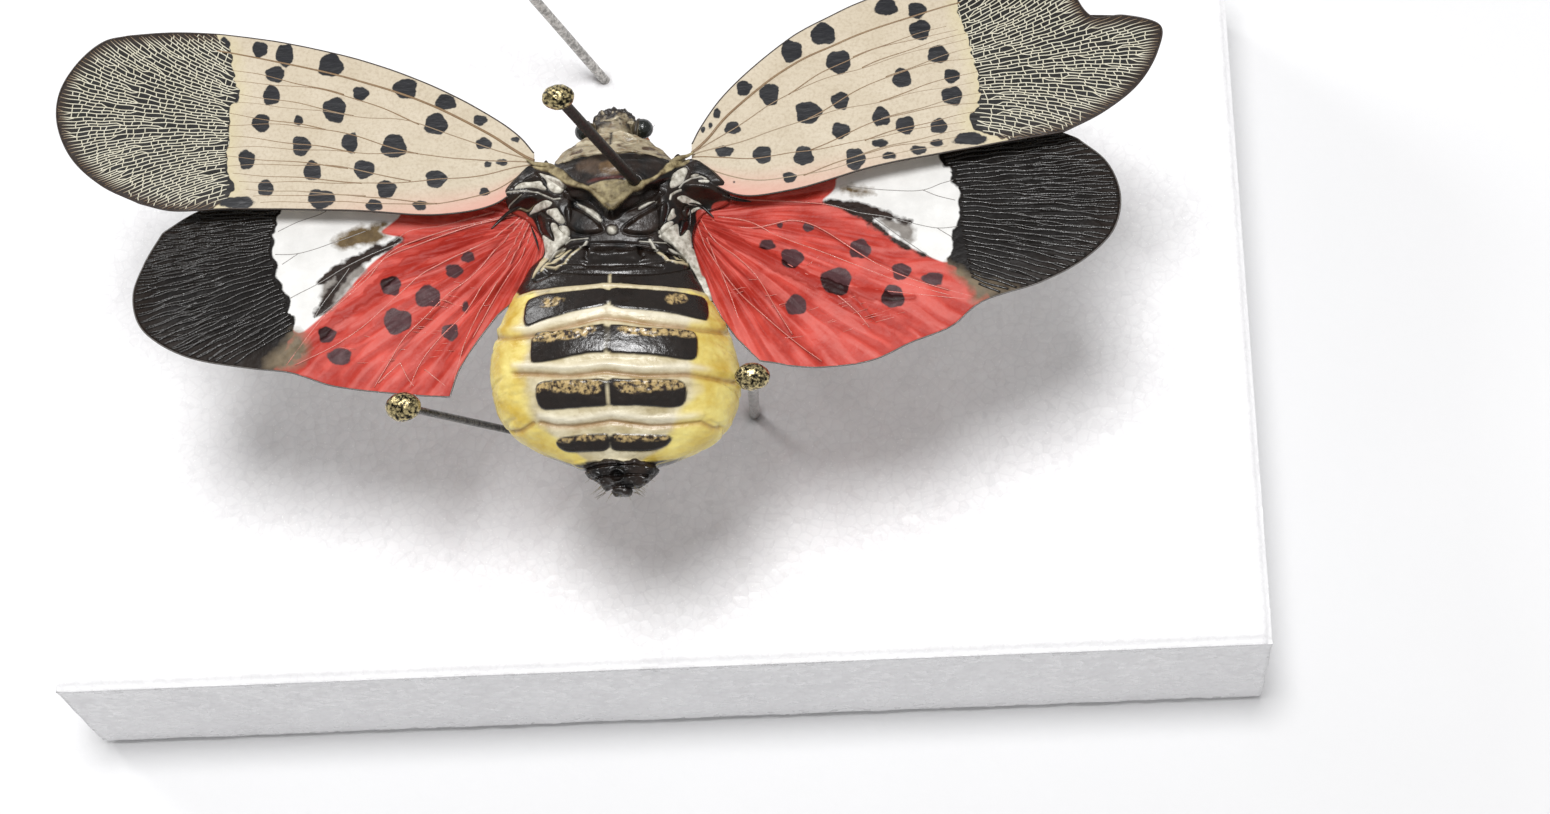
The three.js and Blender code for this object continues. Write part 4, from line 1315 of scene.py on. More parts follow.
PRONOTUM_PALE = [
    (HEAD, 0.05, [(590, 615), (640, 650), (690, 702), (760, 678), (840, 702), (1020, 690)]),
    (HEAD, 0.04, [(690, 560), (760, 545), (860, 560), (950, 610), (1030, 660)]),
    (HEAD, 0.05, [(60, 940), (200, 905), (400, 850), (560, 830)]),
    (HEAD, 0.05, [(820, 850), (1000, 882), (1200, 922), (1370, 948)]),
    (HEAD, 0.05, [(230, 710), (330, 690), (420, 660)]),
]
HEAD_DARK = [
    (HEAD, [
        (395, 405), (425, 330), (500, 270), (560, 215), (640, 225), (730, 200), (800, 230), (880, 285),
        (975, 325), (960, 400), (900, 395), (860, 340), (800, 300), (765, 305), (725, 375), (650, 385),
        (590, 345), (545, 290), (480, 340), (440, 420),
    ]),
]
HEAD_BROWN = [
    (HEAD, [(770, 420), (800, 415), (808, 455), (775, 458)]),
    (HEAD, [(500, 470), (560, 462), (580, 490), (520, 500)]),
    (HEAD, [(850, 440), (890, 445), (880, 480), (845, 470)]),
]
HEAD_PALE = [
    (HEAD, [(556, 290), (574, 290), (590, 330), (576, 338)]),
    (HEAD, [(676, 282), (700, 276), (706, 322), (684, 326)]),
    (HEAD, [(724, 272), (748, 268), (752, 300), (730, 310)]),
    (HEAD, [
        (560, 388), (650, 402), (722, 380), (782, 346), (790, 360), (722, 398), (650, 418), (560, 402),
    ]),
    (HEAD, [(880, 412), (950, 405), (960, 450), (900, 450)]),
]
FRONT_GROOVES = [
    (THORAX, [(430, 915), (520, 872), (640, 856), (800, 856), (930, 870), (1045, 905)]),
    (THORAX, [(395, 965), (560, 968), (740, 963), (900, 962), (1010, 958), (1140, 935)]),
    (THORAX, [(375, 1012), (560, 1020), (760, 1026), (1000, 1018), (1200, 990)]),
    (THORAX, [(600, 880), (588, 930), (610, 958)]),
    (THORAX, [(895, 880), (908, 925), (890, 958)]),
]


def front_pattern(points):
    """Cream arcs, and the relief, of the dark segments where the abdomen joins the thorax."""
    # The thin lines include one painted highlight, a glint drawn as a pale line
    lines = thin_distance(points, THIN_LINES) + 0.03
    patches = nearest(points, [PALE[5], PALE[6], PALE[-4]])
    arcs = smoothstep(0.015, -0.03, np.minimum(lines, patches))
    grooves = line_distance(points, FRONT_GROOVES)
    shiny = region(THORAX, points, RAISED[-1][1])
    streaks = grain(points * [1, 0.2, 1], 0.28, 5)
    relief = 0.05 * arcs - 0.1 * hump(grooves, 0.08)
    return arcs, relief + smoothstep(0.02, -0.15, shiny) * (0.12 + 0.035 * streaks)


def line_distance(points, rows):
    return np.minimum.reduce([stroke(crop, points, line) for crop, line in rows])


def thin_distance(points, rows):
    return np.minimum.reduce([stroke(crop, points, line) - width for crop, width, line in rows])


def pronotum():
    def section(t):
        return Section(3.0, 0.25, 1.2 + 0.6 * smoothstep(0, 1, t), -2.3, (0.8, 1.35), (0.95, 0.85))

    points, up, _ = block(pronotum_front, pronotum_rear, section, density(340), density(120), lip=0.1)
    dorsal = smoothstep(0.0, 0.12, up)
    ripple = 0.03 * layered(points, 0.2, 4)
    marks = nearest(points, PRONOTUM_MARKS) + ripple
    edges = line_distance(points, PRONOTUM_EDGES)
    pale = thin_distance(points, PRONOTUM_PALE) + ripple
    dark = smoothstep(0.1, 0.04, edges) * dorsal
    dark = np.maximum(dark, smoothstep(0.1, -0.3, up))
    wrinkles = 0.06 * layered(points * [1, 2.2, 1], 0.5, 2, 4)
    relief = 0.05 * smoothstep(0.03, -0.04, pale) - 0.05 * hump(edges, 0.06)
    relief -= 0.05 * smoothstep(0.04, -0.05, marks)
    pits = -0.12 * hump(np.hypot(np.abs(points[..., 0] - AXIS_X) - 0.75, points[..., 1] - 3.75), 0.28)
    build = Build()
    closed_block(
        build,
        points,
        wrinkles + (relief + pits) * dorsal,
        dark=dark,
        brown=smoothstep(0.05, -0.02, marks) * dorsal,
        pale=(0.2 + 0.7 * smoothstep(0.03, -0.04, pale)) * dorsal,
    )
    build.piece("pronotum_shell", [LOOKS["tan"]], ["pronotum"])


def torso():
    def front(x):
        return 3.15 - 0.045 * x * x + 0.55 * smoothstep(2.7, 3.05, np.abs(x))

    def rear(x):
        return -1.2 - 0.03 * x * x - 0.06 * x

    def top(x, y):
        step = smoothstep(0.12, -0.06, raised_plate(x + AXIS_X, y))
        tucked = 0.3 * smoothstep(2.3, 3.0, y) * smoothstep(2.9, 2.6, np.abs(x))
        slope = 0.25 * smoothstep(0.2, -1.2, y)
        return 1.1 - slope + step * (0.9 - tucked)

    def section(t):
        rear_part = smoothstep(0.3, 0.8, t)
        return Section(3.3 - 0.3 * rear_part, 0.1 - 0.4 * rear_part, top, -3.1, (0.85, 1.35), (1.0, 0.85))

    points, up, _ = block(front, rear, section, density(380), density(220), lip=0.08)
    dorsal = smoothstep(0.02, 0.12, up)
    masks, relief = back_pattern(points)
    collar = np.hypot(points[..., 0] - 1.3, points[..., 1] - 1.42)
    relief = relief * dorsal + 0.12 * hump(collar - 0.33, 0.12) * dorsal
    build = Build()
    closed_block(build, points, relief, **{key: value * dorsal for key, value in masks.items()})
    build.piece("thorax_shell", [LOOKS["shell"]], ["mesothorax", "metathorax"])


# Hinge fields between thorax and wings: their edges towards the body and towards the wings
HINGES = {
    "left": (
        [(470, 430), (540, 560), (540, 700), (520, 830), (453, 896), (402, 950), (354, 1002), (294, 1076)],
        [(283, 402), (140, 560), (160, 655), (255, 722), (338, 805), (362, 896), (328, 983), (288, 1070)],
    ),
    "right": (
        [
            (1020, 430), (960, 560), (970, 700), (1000, 830), (1060, 868), (1150, 955), (1195, 1020),
            (1272, 1172),
        ],
        [
            (1190, 366), (1330, 470), (1400, 600), (1250, 690), (1192, 800), (1200, 900), (1240, 1005),
            (1272, 1092), (1300, 1175),
        ],
    ),
}
CORDS = {
    "left": [
        ([(255, 385), (300, 412), (345, 420), (400, 425), (450, 445)], 0.11, 0.9, 0.0),
        ([(62, 778), (120, 725), (175, 680), (240, 640), (290, 620)], 0.09, 0.0, 0.0),
        ([(170, 690), (225, 665), (270, 680), (310, 640)], 0.07, 0.3, 0.0),
        ([(285, 760), (300, 800), (318, 850), (330, 900)], 0.05, 0.0, 0.0),
    ],
    "right": [
        ([(1200, 345), (1160, 372), (1110, 385), (1060, 412), (1020, 440)], 0.11, 0.9, 0.0),
        ([(1520, 625), (1450, 618), (1385, 600), (1330, 575)], 0.09, 0.0, 0.0),
        ([(1310, 715), (1250, 660), (1210, 640), (1160, 632)], 0.07, 0.0, 0.0),
        ([(1175, 775), (1178, 700), (1165, 650), (1130, 630)], 0.06, 0.0, 0.0),
    ],
}


def hinge(label):
    def height(x, y):
        out = np.abs(x - AXIS_X)
        near = 1.15 - 0.5 * smoothstep(1.0, -1.2, y)
        far = -0.38 + 1.15 * smoothstep(0.9, 1.9, y)
        return near + (far - near) * smoothstep(2.3, 4.0, out)

    inner, outer = (THORAX.find(line, height)[:, :2] for line in HINGES[label])
    inner, outer = curve_through(inner, density(220)), curve_through(outer, density(220))
    across = np.linspace(0, 1, density(140))[None, :]
    along = np.linspace(0, 1, len(inner))[:, None]
    plan = inner[:, None] * (1 - across[..., None]) + outer[:, None] * across[..., None]
    points = np.concatenate([plan, height(plan[..., 0], plan[..., 1])[..., None]], -1)
    masks, relief = back_pattern(points)
    edges = 0.4 * smoothstep(0.14, 0, across) + 0.14 * smoothstep(0.95, 1, across)
    edges = edges + 0.3 * smoothstep(0.05, 0, along) + 0.15 * smoothstep(0.96, 1, along)
    points[..., 2] += relief - edges
    build = Build()
    slab(build, points, 0.06, **masks)
    for line, radius, tan, pale in CORDS[label]:
        path = curve_through(THORAX.find(line, height), 40)
        path[:, 2] += 0.06 * np.sin(np.linspace(0, np.pi, 41))
        thick = radius * (0.1 + 0.9 * np.sin(np.linspace(0.05, np.pi - 0.05, 41)) ** 0.7)
        tube(build, path, thick, sides=12, squash=0.7, tan=tan, pale=pale)
    build.piece(f"hinge_{label}", [LOOKS["shell"]])


# Abdomen over s, the distance behind the thorax
ABDOMEN_START = 0.6
ABDOMEN_END = 10.8
ABDOMEN_AXIS = -0.03
TIP_BRISTLES = 60
BODY_SHEAR = 0.06
abdomen_half = profile([
    (0.6, 3.1), (0.9, 3.45), (1.27, 3.8), (2, 4.3), (2.75, 4.75), (3.5, 5.1), (4.3, 5.38), (5.5, 5.6),
    (7, 5.6), (8.4, 5.25), (9.4, 4.6), (10.1, 3.6), (10.55, 2.7), (10.8, 1.95),
])
abdomen_top = profile([
    (0.6, 0.5), (0.9, 0.62), (1.27, 0.72), (2, 0.9), (3, 1.2), (4, 1.5), (5.5, 1.7), (7, 1.5), (8.4, 0.9),
    (9.4, 0.2), (10.3, -0.65), (10.8, -1.2),
])
abdomen_level = profile([(0.6, -0.55), (1.27, -0.7), (3, -1.35), (5.5, -1.8), (8, -1.8), (10.95, -1.9)])
abdomen_low = profile([
    (0.6, -2.6), (1.27, -3.0), (3, -3.9), (5.5, -4.6), (8, -4.4), (10, -3.5), (10.95, -2.8),
])

# Markings of the abdomen, as read in its crop
DARK_PLATES = [
    [
        (283, 335), (330, 296), (450, 274), (600, 260), (730, 246), (732, 345), (640, 360), (560, 375),
        (450, 405), (350, 440), (278, 468),
    ],
    [
        (716, 246), (850, 252), (1000, 264), (1150, 280), (1244, 304), (1250, 432), (1200, 425),
        (1100, 400), (980, 378), (860, 368), (780, 365), (718, 340),
    ],
    [
        (322, 500), (340, 478), (430, 470), (560, 460), (640, 445), (724, 428), (728, 592), (640, 592),
        (560, 605), (450, 630), (360, 645), (308, 645),
    ],
    [
        (710, 436), (790, 440), (880, 455), (1000, 460), (1100, 462), (1180, 475), (1192, 560), (1185, 635),
        (1100, 628), (980, 608), (860, 600), (780, 595), (710, 592),
    ],
    [
        (340, 760), (370, 735), (450, 728), (560, 725), (725, 718), (732, 780), (734, 870), (640, 872),
        (540, 880), (440, 888), (375, 890), (345, 840),
    ],
    [
        (712, 718), (800, 722), (950, 725), (1080, 725), (1125, 745), (1138, 800), (1120, 870), (1040, 880),
        (900, 868), (800, 866), (716, 872),
    ],
    [
        (445, 1050), (480, 1025), (560, 1015), (640, 1008), (738, 1004), (736, 1102), (640, 1105),
        (560, 1112), (500, 1110), (455, 1080),
    ],
    [
        (728, 1004), (820, 1008), (900, 1010), (980, 1012), (1050, 1018), (1060, 1045), (1020, 1085),
        (940, 1105), (840, 1103), (728, 1102),
    ],
]
TAN_PARTS = [
    [(370, 320), (480, 300), (500, 330), (440, 360), (370, 355)],
    [(1020, 300), (1110, 290), (1140, 320), (1080, 345), (1020, 330)],
    [
        (335, 490), (430, 472), (560, 462), (640, 450), (670, 480), (600, 510), (520, 530), (420, 535),
        (335, 535),
    ],
    [
        (760, 450), (850, 455), (1000, 465), (1100, 468), (1180, 485), (1170, 522), (1080, 512),
        (1000, 505), (930, 512), (870, 500), (800, 500),
    ],
    [
        (345, 775), (370, 740), (460, 730), (560, 726), (690, 724), (690, 780), (640, 812), (560, 797),
        (480, 790), (400, 787), (350, 805),
    ],
    [
        (760, 730), (860, 725), (1000, 727), (1090, 730), (1130, 760), (1100, 782), (1000, 785), (930, 792),
        (860, 802), (800, 792), (770, 772),
    ],
    [(450, 1045), (560, 1018), (705, 1010), (712, 1042), (620, 1045), (540, 1050), (468, 1060)],
    [
        (745, 1010), (860, 1010), (980, 1015), (1045, 1028), (1000, 1045), (900, 1045), (820, 1050),
        (750, 1042),
    ],
]
BLACK_FRONT = [
    (-200, -400), (1700, -400), (1330, 320), (1230, 275), (1100, 255), (900, 245), (740, 226), (600, 243),
    (450, 260), (330, 278), (230, 310),
]
BLACK_END = [
    (380, 1150), (450, 1188), (560, 1172), (640, 1150), (740, 1160), (900, 1160), (1040, 1155),
    (1180, 1112), (1300, 1030), (1500, 1100), (1500, 1600), (200, 1600),
]
CREAM_LINES = [
    [(375, 162), (400, 130), (470, 98), (540, 40)],
    [(400, 75), (450, 50), (510, 20)],
    [(985, 10), (1030, 60), (1100, 98), (1160, 125)],
    [(975, 40), (1020, 95), (1090, 122), (1160, 135)],
    [
        (250, 300), (330, 272), (450, 256), (600, 243), (720, 232), (850, 240), (1000, 250), (1150, 264),
        (1230, 292),
    ],
]
MIDLINE = [
    [(714, 360), (717, 430), (718, 605)],
    [(706, 715), (718, 800), (734, 882)],
    [(728, 175), (730, 222)],
]
FOLDS = [
    [
        (370, 958), (450, 975), (550, 978), (650, 965), (740, 950), (850, 965), (950, 978), (1080, 970),
        (1210, 955),
    ],
    [(95, 510), (200, 515), (320, 500), (500, 452), (700, 400), (900, 430), (1190, 470), (1345, 486)],
    [(230, 700), (330, 702), (520, 712), (710, 690), (900, 712), (1130, 705), (1250, 722), (1390, 746)],
    [(330, 960), (270, 1000), (210, 1010)],
    [(1210, 955), (1270, 985), (1310, 990)],
    [(600, 128), (740, 130), (880, 122), (1000, 132)],
    [(340, 205), (470, 150), (600, 140)],
]
CREST_RISE = 45
SHINY_LOBE = [(600, 62), (720, 40), (880, 50), (888, 110), (740, 130), (600, 115)]


def abdomen():
    span = ABDOMEN_END - ABDOMEN_START

    def section(t):
        s = ABDOMEN_START + t * span
        heights = abdomen_level(s), abdomen_top(s), abdomen_low(s)
        return Section(abdomen_half(s), *heights, rounds=(0.92, 1.0), flats=(0.95, 0.9))

    points, up, t = block(
        lambda x: -ABDOMEN_START - 0.03 * x * x - BODY_SHEAR * x,
        lambda x: -ABDOMEN_END - BODY_SHEAR * x,
        section,
        density(360),
        density(280),
        axis=ABDOMEN_AXIS,
        lip=0.2,
    )
    s = ABDOMEN_START + t * span
    dorsal = smoothstep(0.02, 0.15, up)
    out = np.abs(points[..., 0] - ABDOMEN_AXIS) / abdomen_half(s)
    ripple = 0.035 * layered(points, 0.3, 3)
    plates = union(ABDOMEN, points, DARK_PLATES) + 0.4 * ripple
    tans = union(ABDOMEN, points, TAN_PARTS) + 2.0 * ripple
    front = region(ABDOMEN, points, BLACK_FRONT) + ripple
    end = region(ABDOMEN, points, BLACK_END) + ripple
    cream = strokes(ABDOMEN, points, CREAM_LINES)
    middle = strokes(ABDOMEN, points, MIDLINE)
    folds = strokes(ABDOMEN, points, FOLDS)
    crests = strokes(ABDOMEN, points, [[(x, y - CREST_RISE) for x, y in line] for line in FOLDS[:3]])
    lobe = region(ABDOMEN, points, SHINY_LOBE)
    arcs, lobe_relief = front_pattern(points)
    dark = np.maximum(smoothstep(0.02, -0.05, plates), smoothstep(0.03, -0.05, front))
    dark = np.maximum(dark, smoothstep(0.05, -0.05, end)) * dorsal
    line = np.maximum(smoothstep(0.06, 0.025, cream), smoothstep(0.075, 0.03, middle))
    line = np.maximum(line, arcs)
    dark = dark * (1 - line * dorsal)
    under = smoothstep(-0.1, -0.3, up)
    sterna = np.abs((s / 1.45) % 1 - 0.5) < 0.36
    dark = np.maximum(dark, under * sterna * smoothstep(0.78, 0.7, out))
    dark = np.maximum(dark, smoothstep(10.2, 10.6, s) * smoothstep(0.15, -0.1, up))
    yellow = smoothstep(0.6, 0.74, out + 0.07 * layered(points, 1.0, 6)) * smoothstep(2.0, 2.8, s)
    wrinkles = 0.022 * layered(points * [0.35, 1.6, 1], 0.3, 1, 4) * (1 - 0.8 * dark)
    relief = 0.1 * smoothstep(0.03, -0.1, plates) + 0.14 * smoothstep(0.05, -0.3, lobe)
    relief += 0.05 * hump(cream, 0.07) - 0.13 * hump(folds, 0.1) + 0.08 * hump(crests, 0.16) * (1 - dark)
    relief -= 0.03 * hump(middle, 0.05)
    relief += 0.04 * smoothstep(0.0, -0.15, front) * grain(points * [0.5, 2.0, 1], 0.8, 5) + lobe_relief
    relief += 0.04 * smoothstep(0.02, -0.08, tans) * grain(points, 0.16, 8)
    swell = 0.1 * layered(points, 1.8, 12, 2) * smoothstep(3.0, 4.5, s)
    side_folds = -0.1 * hump((s - 2.2) % 1.95 - 0.97, 0.1) * smoothstep(0.8, 0.95, out) * smoothstep(3, 4, s)
    build = Build()
    closed_block(
        build,
        points,
        relief * dorsal + wrinkles + swell * 0.4 + side_folds,
        dark=dark,
        tan=smoothstep(0.04, -0.06, tans) * dorsal,
        yellow=yellow,
        # The fold mask paints shade into the folds' grooves, over their own orange-brown line
        fold=hump(folds + 0.5 * ripple, 0.13) * dorsal * (1 - dark),
        # The crest mask paints a highlight on the raised crests beside the folds
        crest=hump(crests, 0.16) * dorsal * smoothstep(0.85, 0.7, out),
        ridge=line * dorsal,
    )
    build.piece("abdomen_skin", [LOOKS["abdomen"]], ["abdomen"])


def abdomen_tip():
    half = profile([(0, 1.7), (0.4, 1.55), (0.8, 1.1), (1.1, 0.5)])

    def section(t):
        return Section(half(t * 1.1), -1.9, -1.1 - 0.42 * t, -2.8 + 0.45 * t)

    points, up, t = block(
        lambda x: -10.55 - BODY_SHEAR * x,
        lambda x: -12.1 + 0.05 * np.cos(4 * x),
        section,
        density(200),
        density(110),
        axis=0.25,
        lip=0.3,
    )
    ring = np.abs(np.hypot(points[..., 0] - 0.1, (points[..., 1] + 11.35) * 1.3) - 0.33)
    relief = 0.1 * layered(points, 0.45, 21, 4) + 0.16 * hump(ring, 0.1) * smoothstep(0, 0.3, up)
    relief -= 0.12 * hump((points[..., 1] + 11.1) % 0.45 - 0.2, 0.05)
    build = Build()
    closed_block(build, points, relief, tan=0.0, pale=0.0)
    rng = np.random.default_rng(12)
    for _ in range(TIP_BRISTLES):
        x, along = rng.uniform(-1.3, 1.3), rng.uniform(0, 1)
        start = np.array([0.25 + x * (1 - 0.4 * along), -10.9 - 1.1 * along, -1.7 - 0.25 * along])
        bend = np.array([0.35 * x, -rng.uniform(0.2, 0.5), rng.uniform(-0.1, 0.25)])
        steps = np.linspace(0, 1, 5)[:, None]
        tube(build, start + bend * steps, np.linspace(0.014, 0.004, 5), 3, tan=0.6)
    build.piece("abdomen_tip_shell", [LOOKS["shell"]], ["abdomen_tip"])


def head():
    def section(t):
        half = 0.98 - 0.12 * smoothstep(0.15, 0.75, t)
        return Section(half, -0.25, 0.42 + 0.42 * smoothstep(0, 0.5, t), -1.95, (0.7, 0.9), (0.9, 0.9))

    def front(x):
        return 6.05 - 0.42 * x * x

    def rear(x):
        return pronotum_front(x) - 0.3

    points, up, t = block(front, rear, section, density(280), density(140), lip=0.22)
    x = points[..., 0] - AXIS_X
    dorsal = smoothstep(-0.15, 0.1, up)
    ripple = 0.03 * layered(points, 0.16, 9)
    dark_part = nearest(points, HEAD_DARK) + ripple
    brown = nearest(points, HEAD_BROWN) + ripple
    pale = nearest(points, HEAD_PALE) + 0.3 * ripple
    dark = smoothstep(0.03, -0.04, dark_part) * dorsal
    dark = np.maximum(dark, 0.75 * smoothstep(0.03, -0.04, brown) * dorsal)
    mottles = 0.2 + 0.75 * smoothstep(-0.15, 0.3, layered(points, 0.26, 22))
    mottles = mottles * smoothstep(0.8, 0.5, t)
    dark = np.maximum(dark, smoothstep(0.42, 0.2, up) * smoothstep(0.7, 0.4, t) * dorsal)
    dark = np.maximum(dark, mottles * dorsal)
    face = smoothstep(0.25, 0.0, t) * (1 - dorsal)
    light = smoothstep(0.02, -0.03, pale)
    dark = np.maximum(dark * (1 - light), 1 - dorsal - 0.65 * face)
    keels = hump(x, 0.07) + hump(np.abs(x) - 0.5, 0.06)
    rim = hump(dark_part, 0.08) * dorsal
    relief = 0.07 * layered(points, 0.2, 14, 4) * smoothstep(0.75, 0.2, t) + 0.02 * layered(points, 0.4, 15)
    relief += 0.05 * keels * smoothstep(0.2, 0.0, t) + 0.07 * rim + 0.05 * light * dorsal
    build = Build()
    closed_block(build, points, relief, dark=dark, pale=0.2 * dorsal + 0.8 * light)
    for side in (LEFT, RIGHT_SIDE):
        turn = np.linspace(0, 2 * np.pi, 61)
        ring = np.stack([0.1 * np.cos(turn) * side, 0.45 * np.cos(turn), 0.46 * np.sin(turn)], -1)
        ring += [AXIS_X + side * 1.08, 4.92, 0.08]
        tube(build, ring, 0.085, sides=10, dark=0.9, pale=0.0)
        ring = ring * [1, 0.96, 0.96] + [side * 0.06, 4.92 * 0.04, 0.08 * 0.04]
        tube(build, ring, 0.04, sides=8, dark=0.0, pale=0.8)
        bead = np.array([AXIS_X + side * 1.12, 5.42, -0.38])
        tube(build, bead + np.linspace(-0.09, 0.09, 9)[:, None] * [side, 0.4, 0], dome(9, 0.09), 12, dark=1.0)
    build.piece("head_shell", [LOOKS["tan"]], ["head"])


def unit_vector(way):
    return way / np.linalg.norm(way)


def ball_angles(rings, sides):
    """Angles from the pole and round it for the points of a ball."""
    polar = np.pi * (np.arange(rings) + 0.5)[:, None] / rings
    turn = 2 * np.pi * np.arange(sides)[None, :] / sides
    return polar, turn


def dome(count, radius):
    """Radii that round a bar off into a bead."""
    at = np.linspace(-1, 1, count)
    return radius * np.sqrt(np.maximum(1 - at * at, 0.02))


BULB_PITS = 110
EYE = {"x": 1.3, "y": 4.96, "z": 0.1, "radii": (0.5, 0.46, 0.46)}


def eye(label, side):
    polar, turn = ball_angles(density(64), density(96))
    unit = [np.sin(polar) * np.cos(turn), np.sin(polar) * np.sin(turn), np.cos(polar) + 0 * turn]
    unit = np.stack(unit, -1)
    centre = np.array([AXIS_X + side * EYE["x"], EYE["y"], EYE["z"]])
    points = centre + unit * EYE["radii"]
    build = Build()
    rim = smoothstep(0.0, -0.7, unit[..., 0] * side)
    closed_block(build, points, 0.008 * grain(points, 0.045, 6), rim=rim)
    build.piece(f"eye_{label}_bead", [LOOKS["eye"]], [f"eye_{label}"])


def antenna(label, side):
    bulb = np.array([AXIS_X + side * 1.2, 4.92, -1.05])
    end = np.array([AXIS_X + side * 2.1, 6.0, -0.7])
    along = unit_vector(end - bulb)
    rows = profile([
        (-0.27, 0.02), (-0.2, 0.16), (-0.05, 0.26), (0.08, 0.275), (0.2, 0.22), (0.28, 0.1), (0.3, 0.02),
    ])
    steps = np.linspace(-0.27, 0.3, 26)
    build = Build()
    tube(build, bulb + steps[:, None] * along, rows(steps), sides=28, tone=0.0)
    rng = np.random.default_rng(31)
    for _ in range(BULB_PITS):
        step, turn = rng.uniform(-0.2, 0.22), rng.uniform(0, 2 * np.pi)
        side_way = unit_vector(np.cross(along, [0, 0, 1]))
        out = np.cos(turn) * side_way + np.sin(turn) * np.cross(side_way, along)
        root = bulb + along * step + out * rows(step)
        tube(build, root + np.linspace(-0.02, 0.03, 4)[:, None] * out, dome(4, 0.022), 6, tone=0.4)
    steps = np.linspace(0.26, 0.65 * np.linalg.norm(end - bulb), 16)
    sag = np.array([0, 0, -0.08]) * np.sin(np.linspace(0, np.pi, 16))[:, None]
    tube(build, bulb + steps[:, None] * along + sag, np.linspace(0.024, 0.006, 16), sides=8, tone=1.0)
    build.piece(f"antenna_{label}_bulb", [LOOKS["antenna"]], [f"antenna_{label}"])


def rostrum():
    start, end = np.array([AXIS_X, 5.15, -2.6]), np.array([AXIS_X, 0.9, -4.6])
    t = np.linspace(0, 1, 60)
    rows = profile([
        (0, 0.12), (0.04, 0.26), (0.3, 0.24), (0.5, 0.27), (0.53, 0.2), (0.56, 0.24), (0.9, 0.2), (1, 0.05),
    ])
    build = Build()
    path = start + t[:, None] * (end - start)
    tube(build, path, rows(t), sides=20, dark=smoothstep(0.35, 1, t), pale=0.1)
    face = np.linspace(0, 1, 24)
    plate = np.array([AXIS_X, 5.75, -1.6]) + face[:, None] * np.array([0, -0.5, -1.05])
    width = 0.42 * np.sin(np.pi * (0.12 + 0.8 * face)) + 0.05
    tube(build, plate, width, sides=20, squash=0.7, dark=0.35, pale=0.3)
    build.piece("rostrum_shell", [LOOKS["tan"]], ["rostrum"])


# Hip, knee, ankle and toe of each leg of the right side
LEG_SHAPES = {
    "fore": [(1.25, 3.5, -2.75), (3.1, 4.2, -4.8), (1.1, 2.4, -7.2), (0.9, 0.5, -7.8)],
    "mid": [(1.7, 0.75, -3.3), (4.3, 1.6, -5.4), (2.35, -1.3, -8.2), (2.1, -3.3, -9.2)],
    "hind": [(1.6, -0.4, -3.4), (6.2, 0.2, -5.2), (3.7, -2.3, -8.0), (3.2, -4.2, -8.3)],
}
LEG_BRISTLES = 90
THIGH = profile([(0, 0.2), (0.08, 0.34), (0.25, 0.3), (0.7, 0.33), (0.93, 0.27), (1, 0.12)])
SHIN = profile([(0, 0.12), (0.05, 0.25), (0.15, 0.22), (0.6, 0.22), (0.93, 0.28), (1, 0.14)])
FOOT_JOINT = profile([(0, 0.08), (0.15, 0.18), (0.7, 0.2), (0.95, 0.24), (1, 0.08)])


def leg(pair, label, side):
    hip, knee, ankle, toe = (np.array([AXIS_X + side * x, y, z]) for x, y, z in LEG_SHAPES[pair])
    rng = np.random.default_rng(7)
    build = Build()
    t = np.linspace(0, 1, 40)

    def bar(a, b, radii, **masks):
        tube(build, a + t[:, None] * (b - a), radii(t), sides=16, **masks)

    bar(hip, knee, THIGH, dark=0.85, pale=0.0)
    bar(knee, ankle, SHIN, dark=1.0, pale=0.0)
    stops = [ankle, ankle + 0.4 * (toe - ankle), ankle + 0.68 * (toe - ankle), toe]
    for a, b in zip(stops, stops[1:]):
        bar(a, b, FOOT_JOINT, dark=1.0, pale=0.0)
    way = unit_vector(toe - ankle)
    across = unit_vector(np.cross(way, [0, 0, 1]))
    for hook in (-1, 1):
        steps = np.linspace(0, 1, 7)[:, None]
        path = toe + way * 0.3 * steps + across * hook * 0.2 * steps - np.array([0, 0, 0.16]) * steps**2
        path += hook * 0.05 * across
        tube(build, path, np.linspace(0.06, 0.015, 7), sides=8, dark=1.0)
    shin_way = unit_vector(ankle - knee)
    outward = unit_vector(np.cross(np.cross(hip - knee, ankle - knee), shin_way))
    for step in (0.3, 0.5, 0.7) if pair == "hind" else ():
        root = knee + step * (ankle - knee)
        path = root + np.linspace(0, 1, 6)[:, None] * (0.6 * outward + 0.2 * shin_way)
        tube(build, path, np.linspace(0.15, 0.03, 6), sides=10, dark=1.0)
    for _ in range(LEG_BRISTLES):
        a, b = (hip, knee) if rng.random() < 0.4 else (knee, ankle)
        step = rng.uniform(0.08, 0.95)
        away = rng.normal(size=3)
        away = unit_vector(away - away @ (b - a) * (b - a) / ((b - a) @ (b - a)))
        root = a + step * (b - a) + 0.18 * away
        path = root + np.linspace(0, 1, 4)[:, None] * (0.2 * away + 0.14 * unit_vector(b - a))
        tube(build, path, np.linspace(0.016, 0.005, 4), sides=3, dark=0.6)
    build.piece(f"leg_{pair}_{label}_shell", [LOOKS["tan"]], [f"leg_{pair}_{label}"])


# Mount
class Pin:
    """A pin: its head's centre, where it enters the foam, the head's radius and half height, the shaft."""

    def __init__(self, head, foot, radius, half, shaft, look):
        self.head = np.array(head)
        self.foot = np.array(foot, float)
        self.radius = radius
        self.half = half
        self.shaft = shaft
        self.look = look


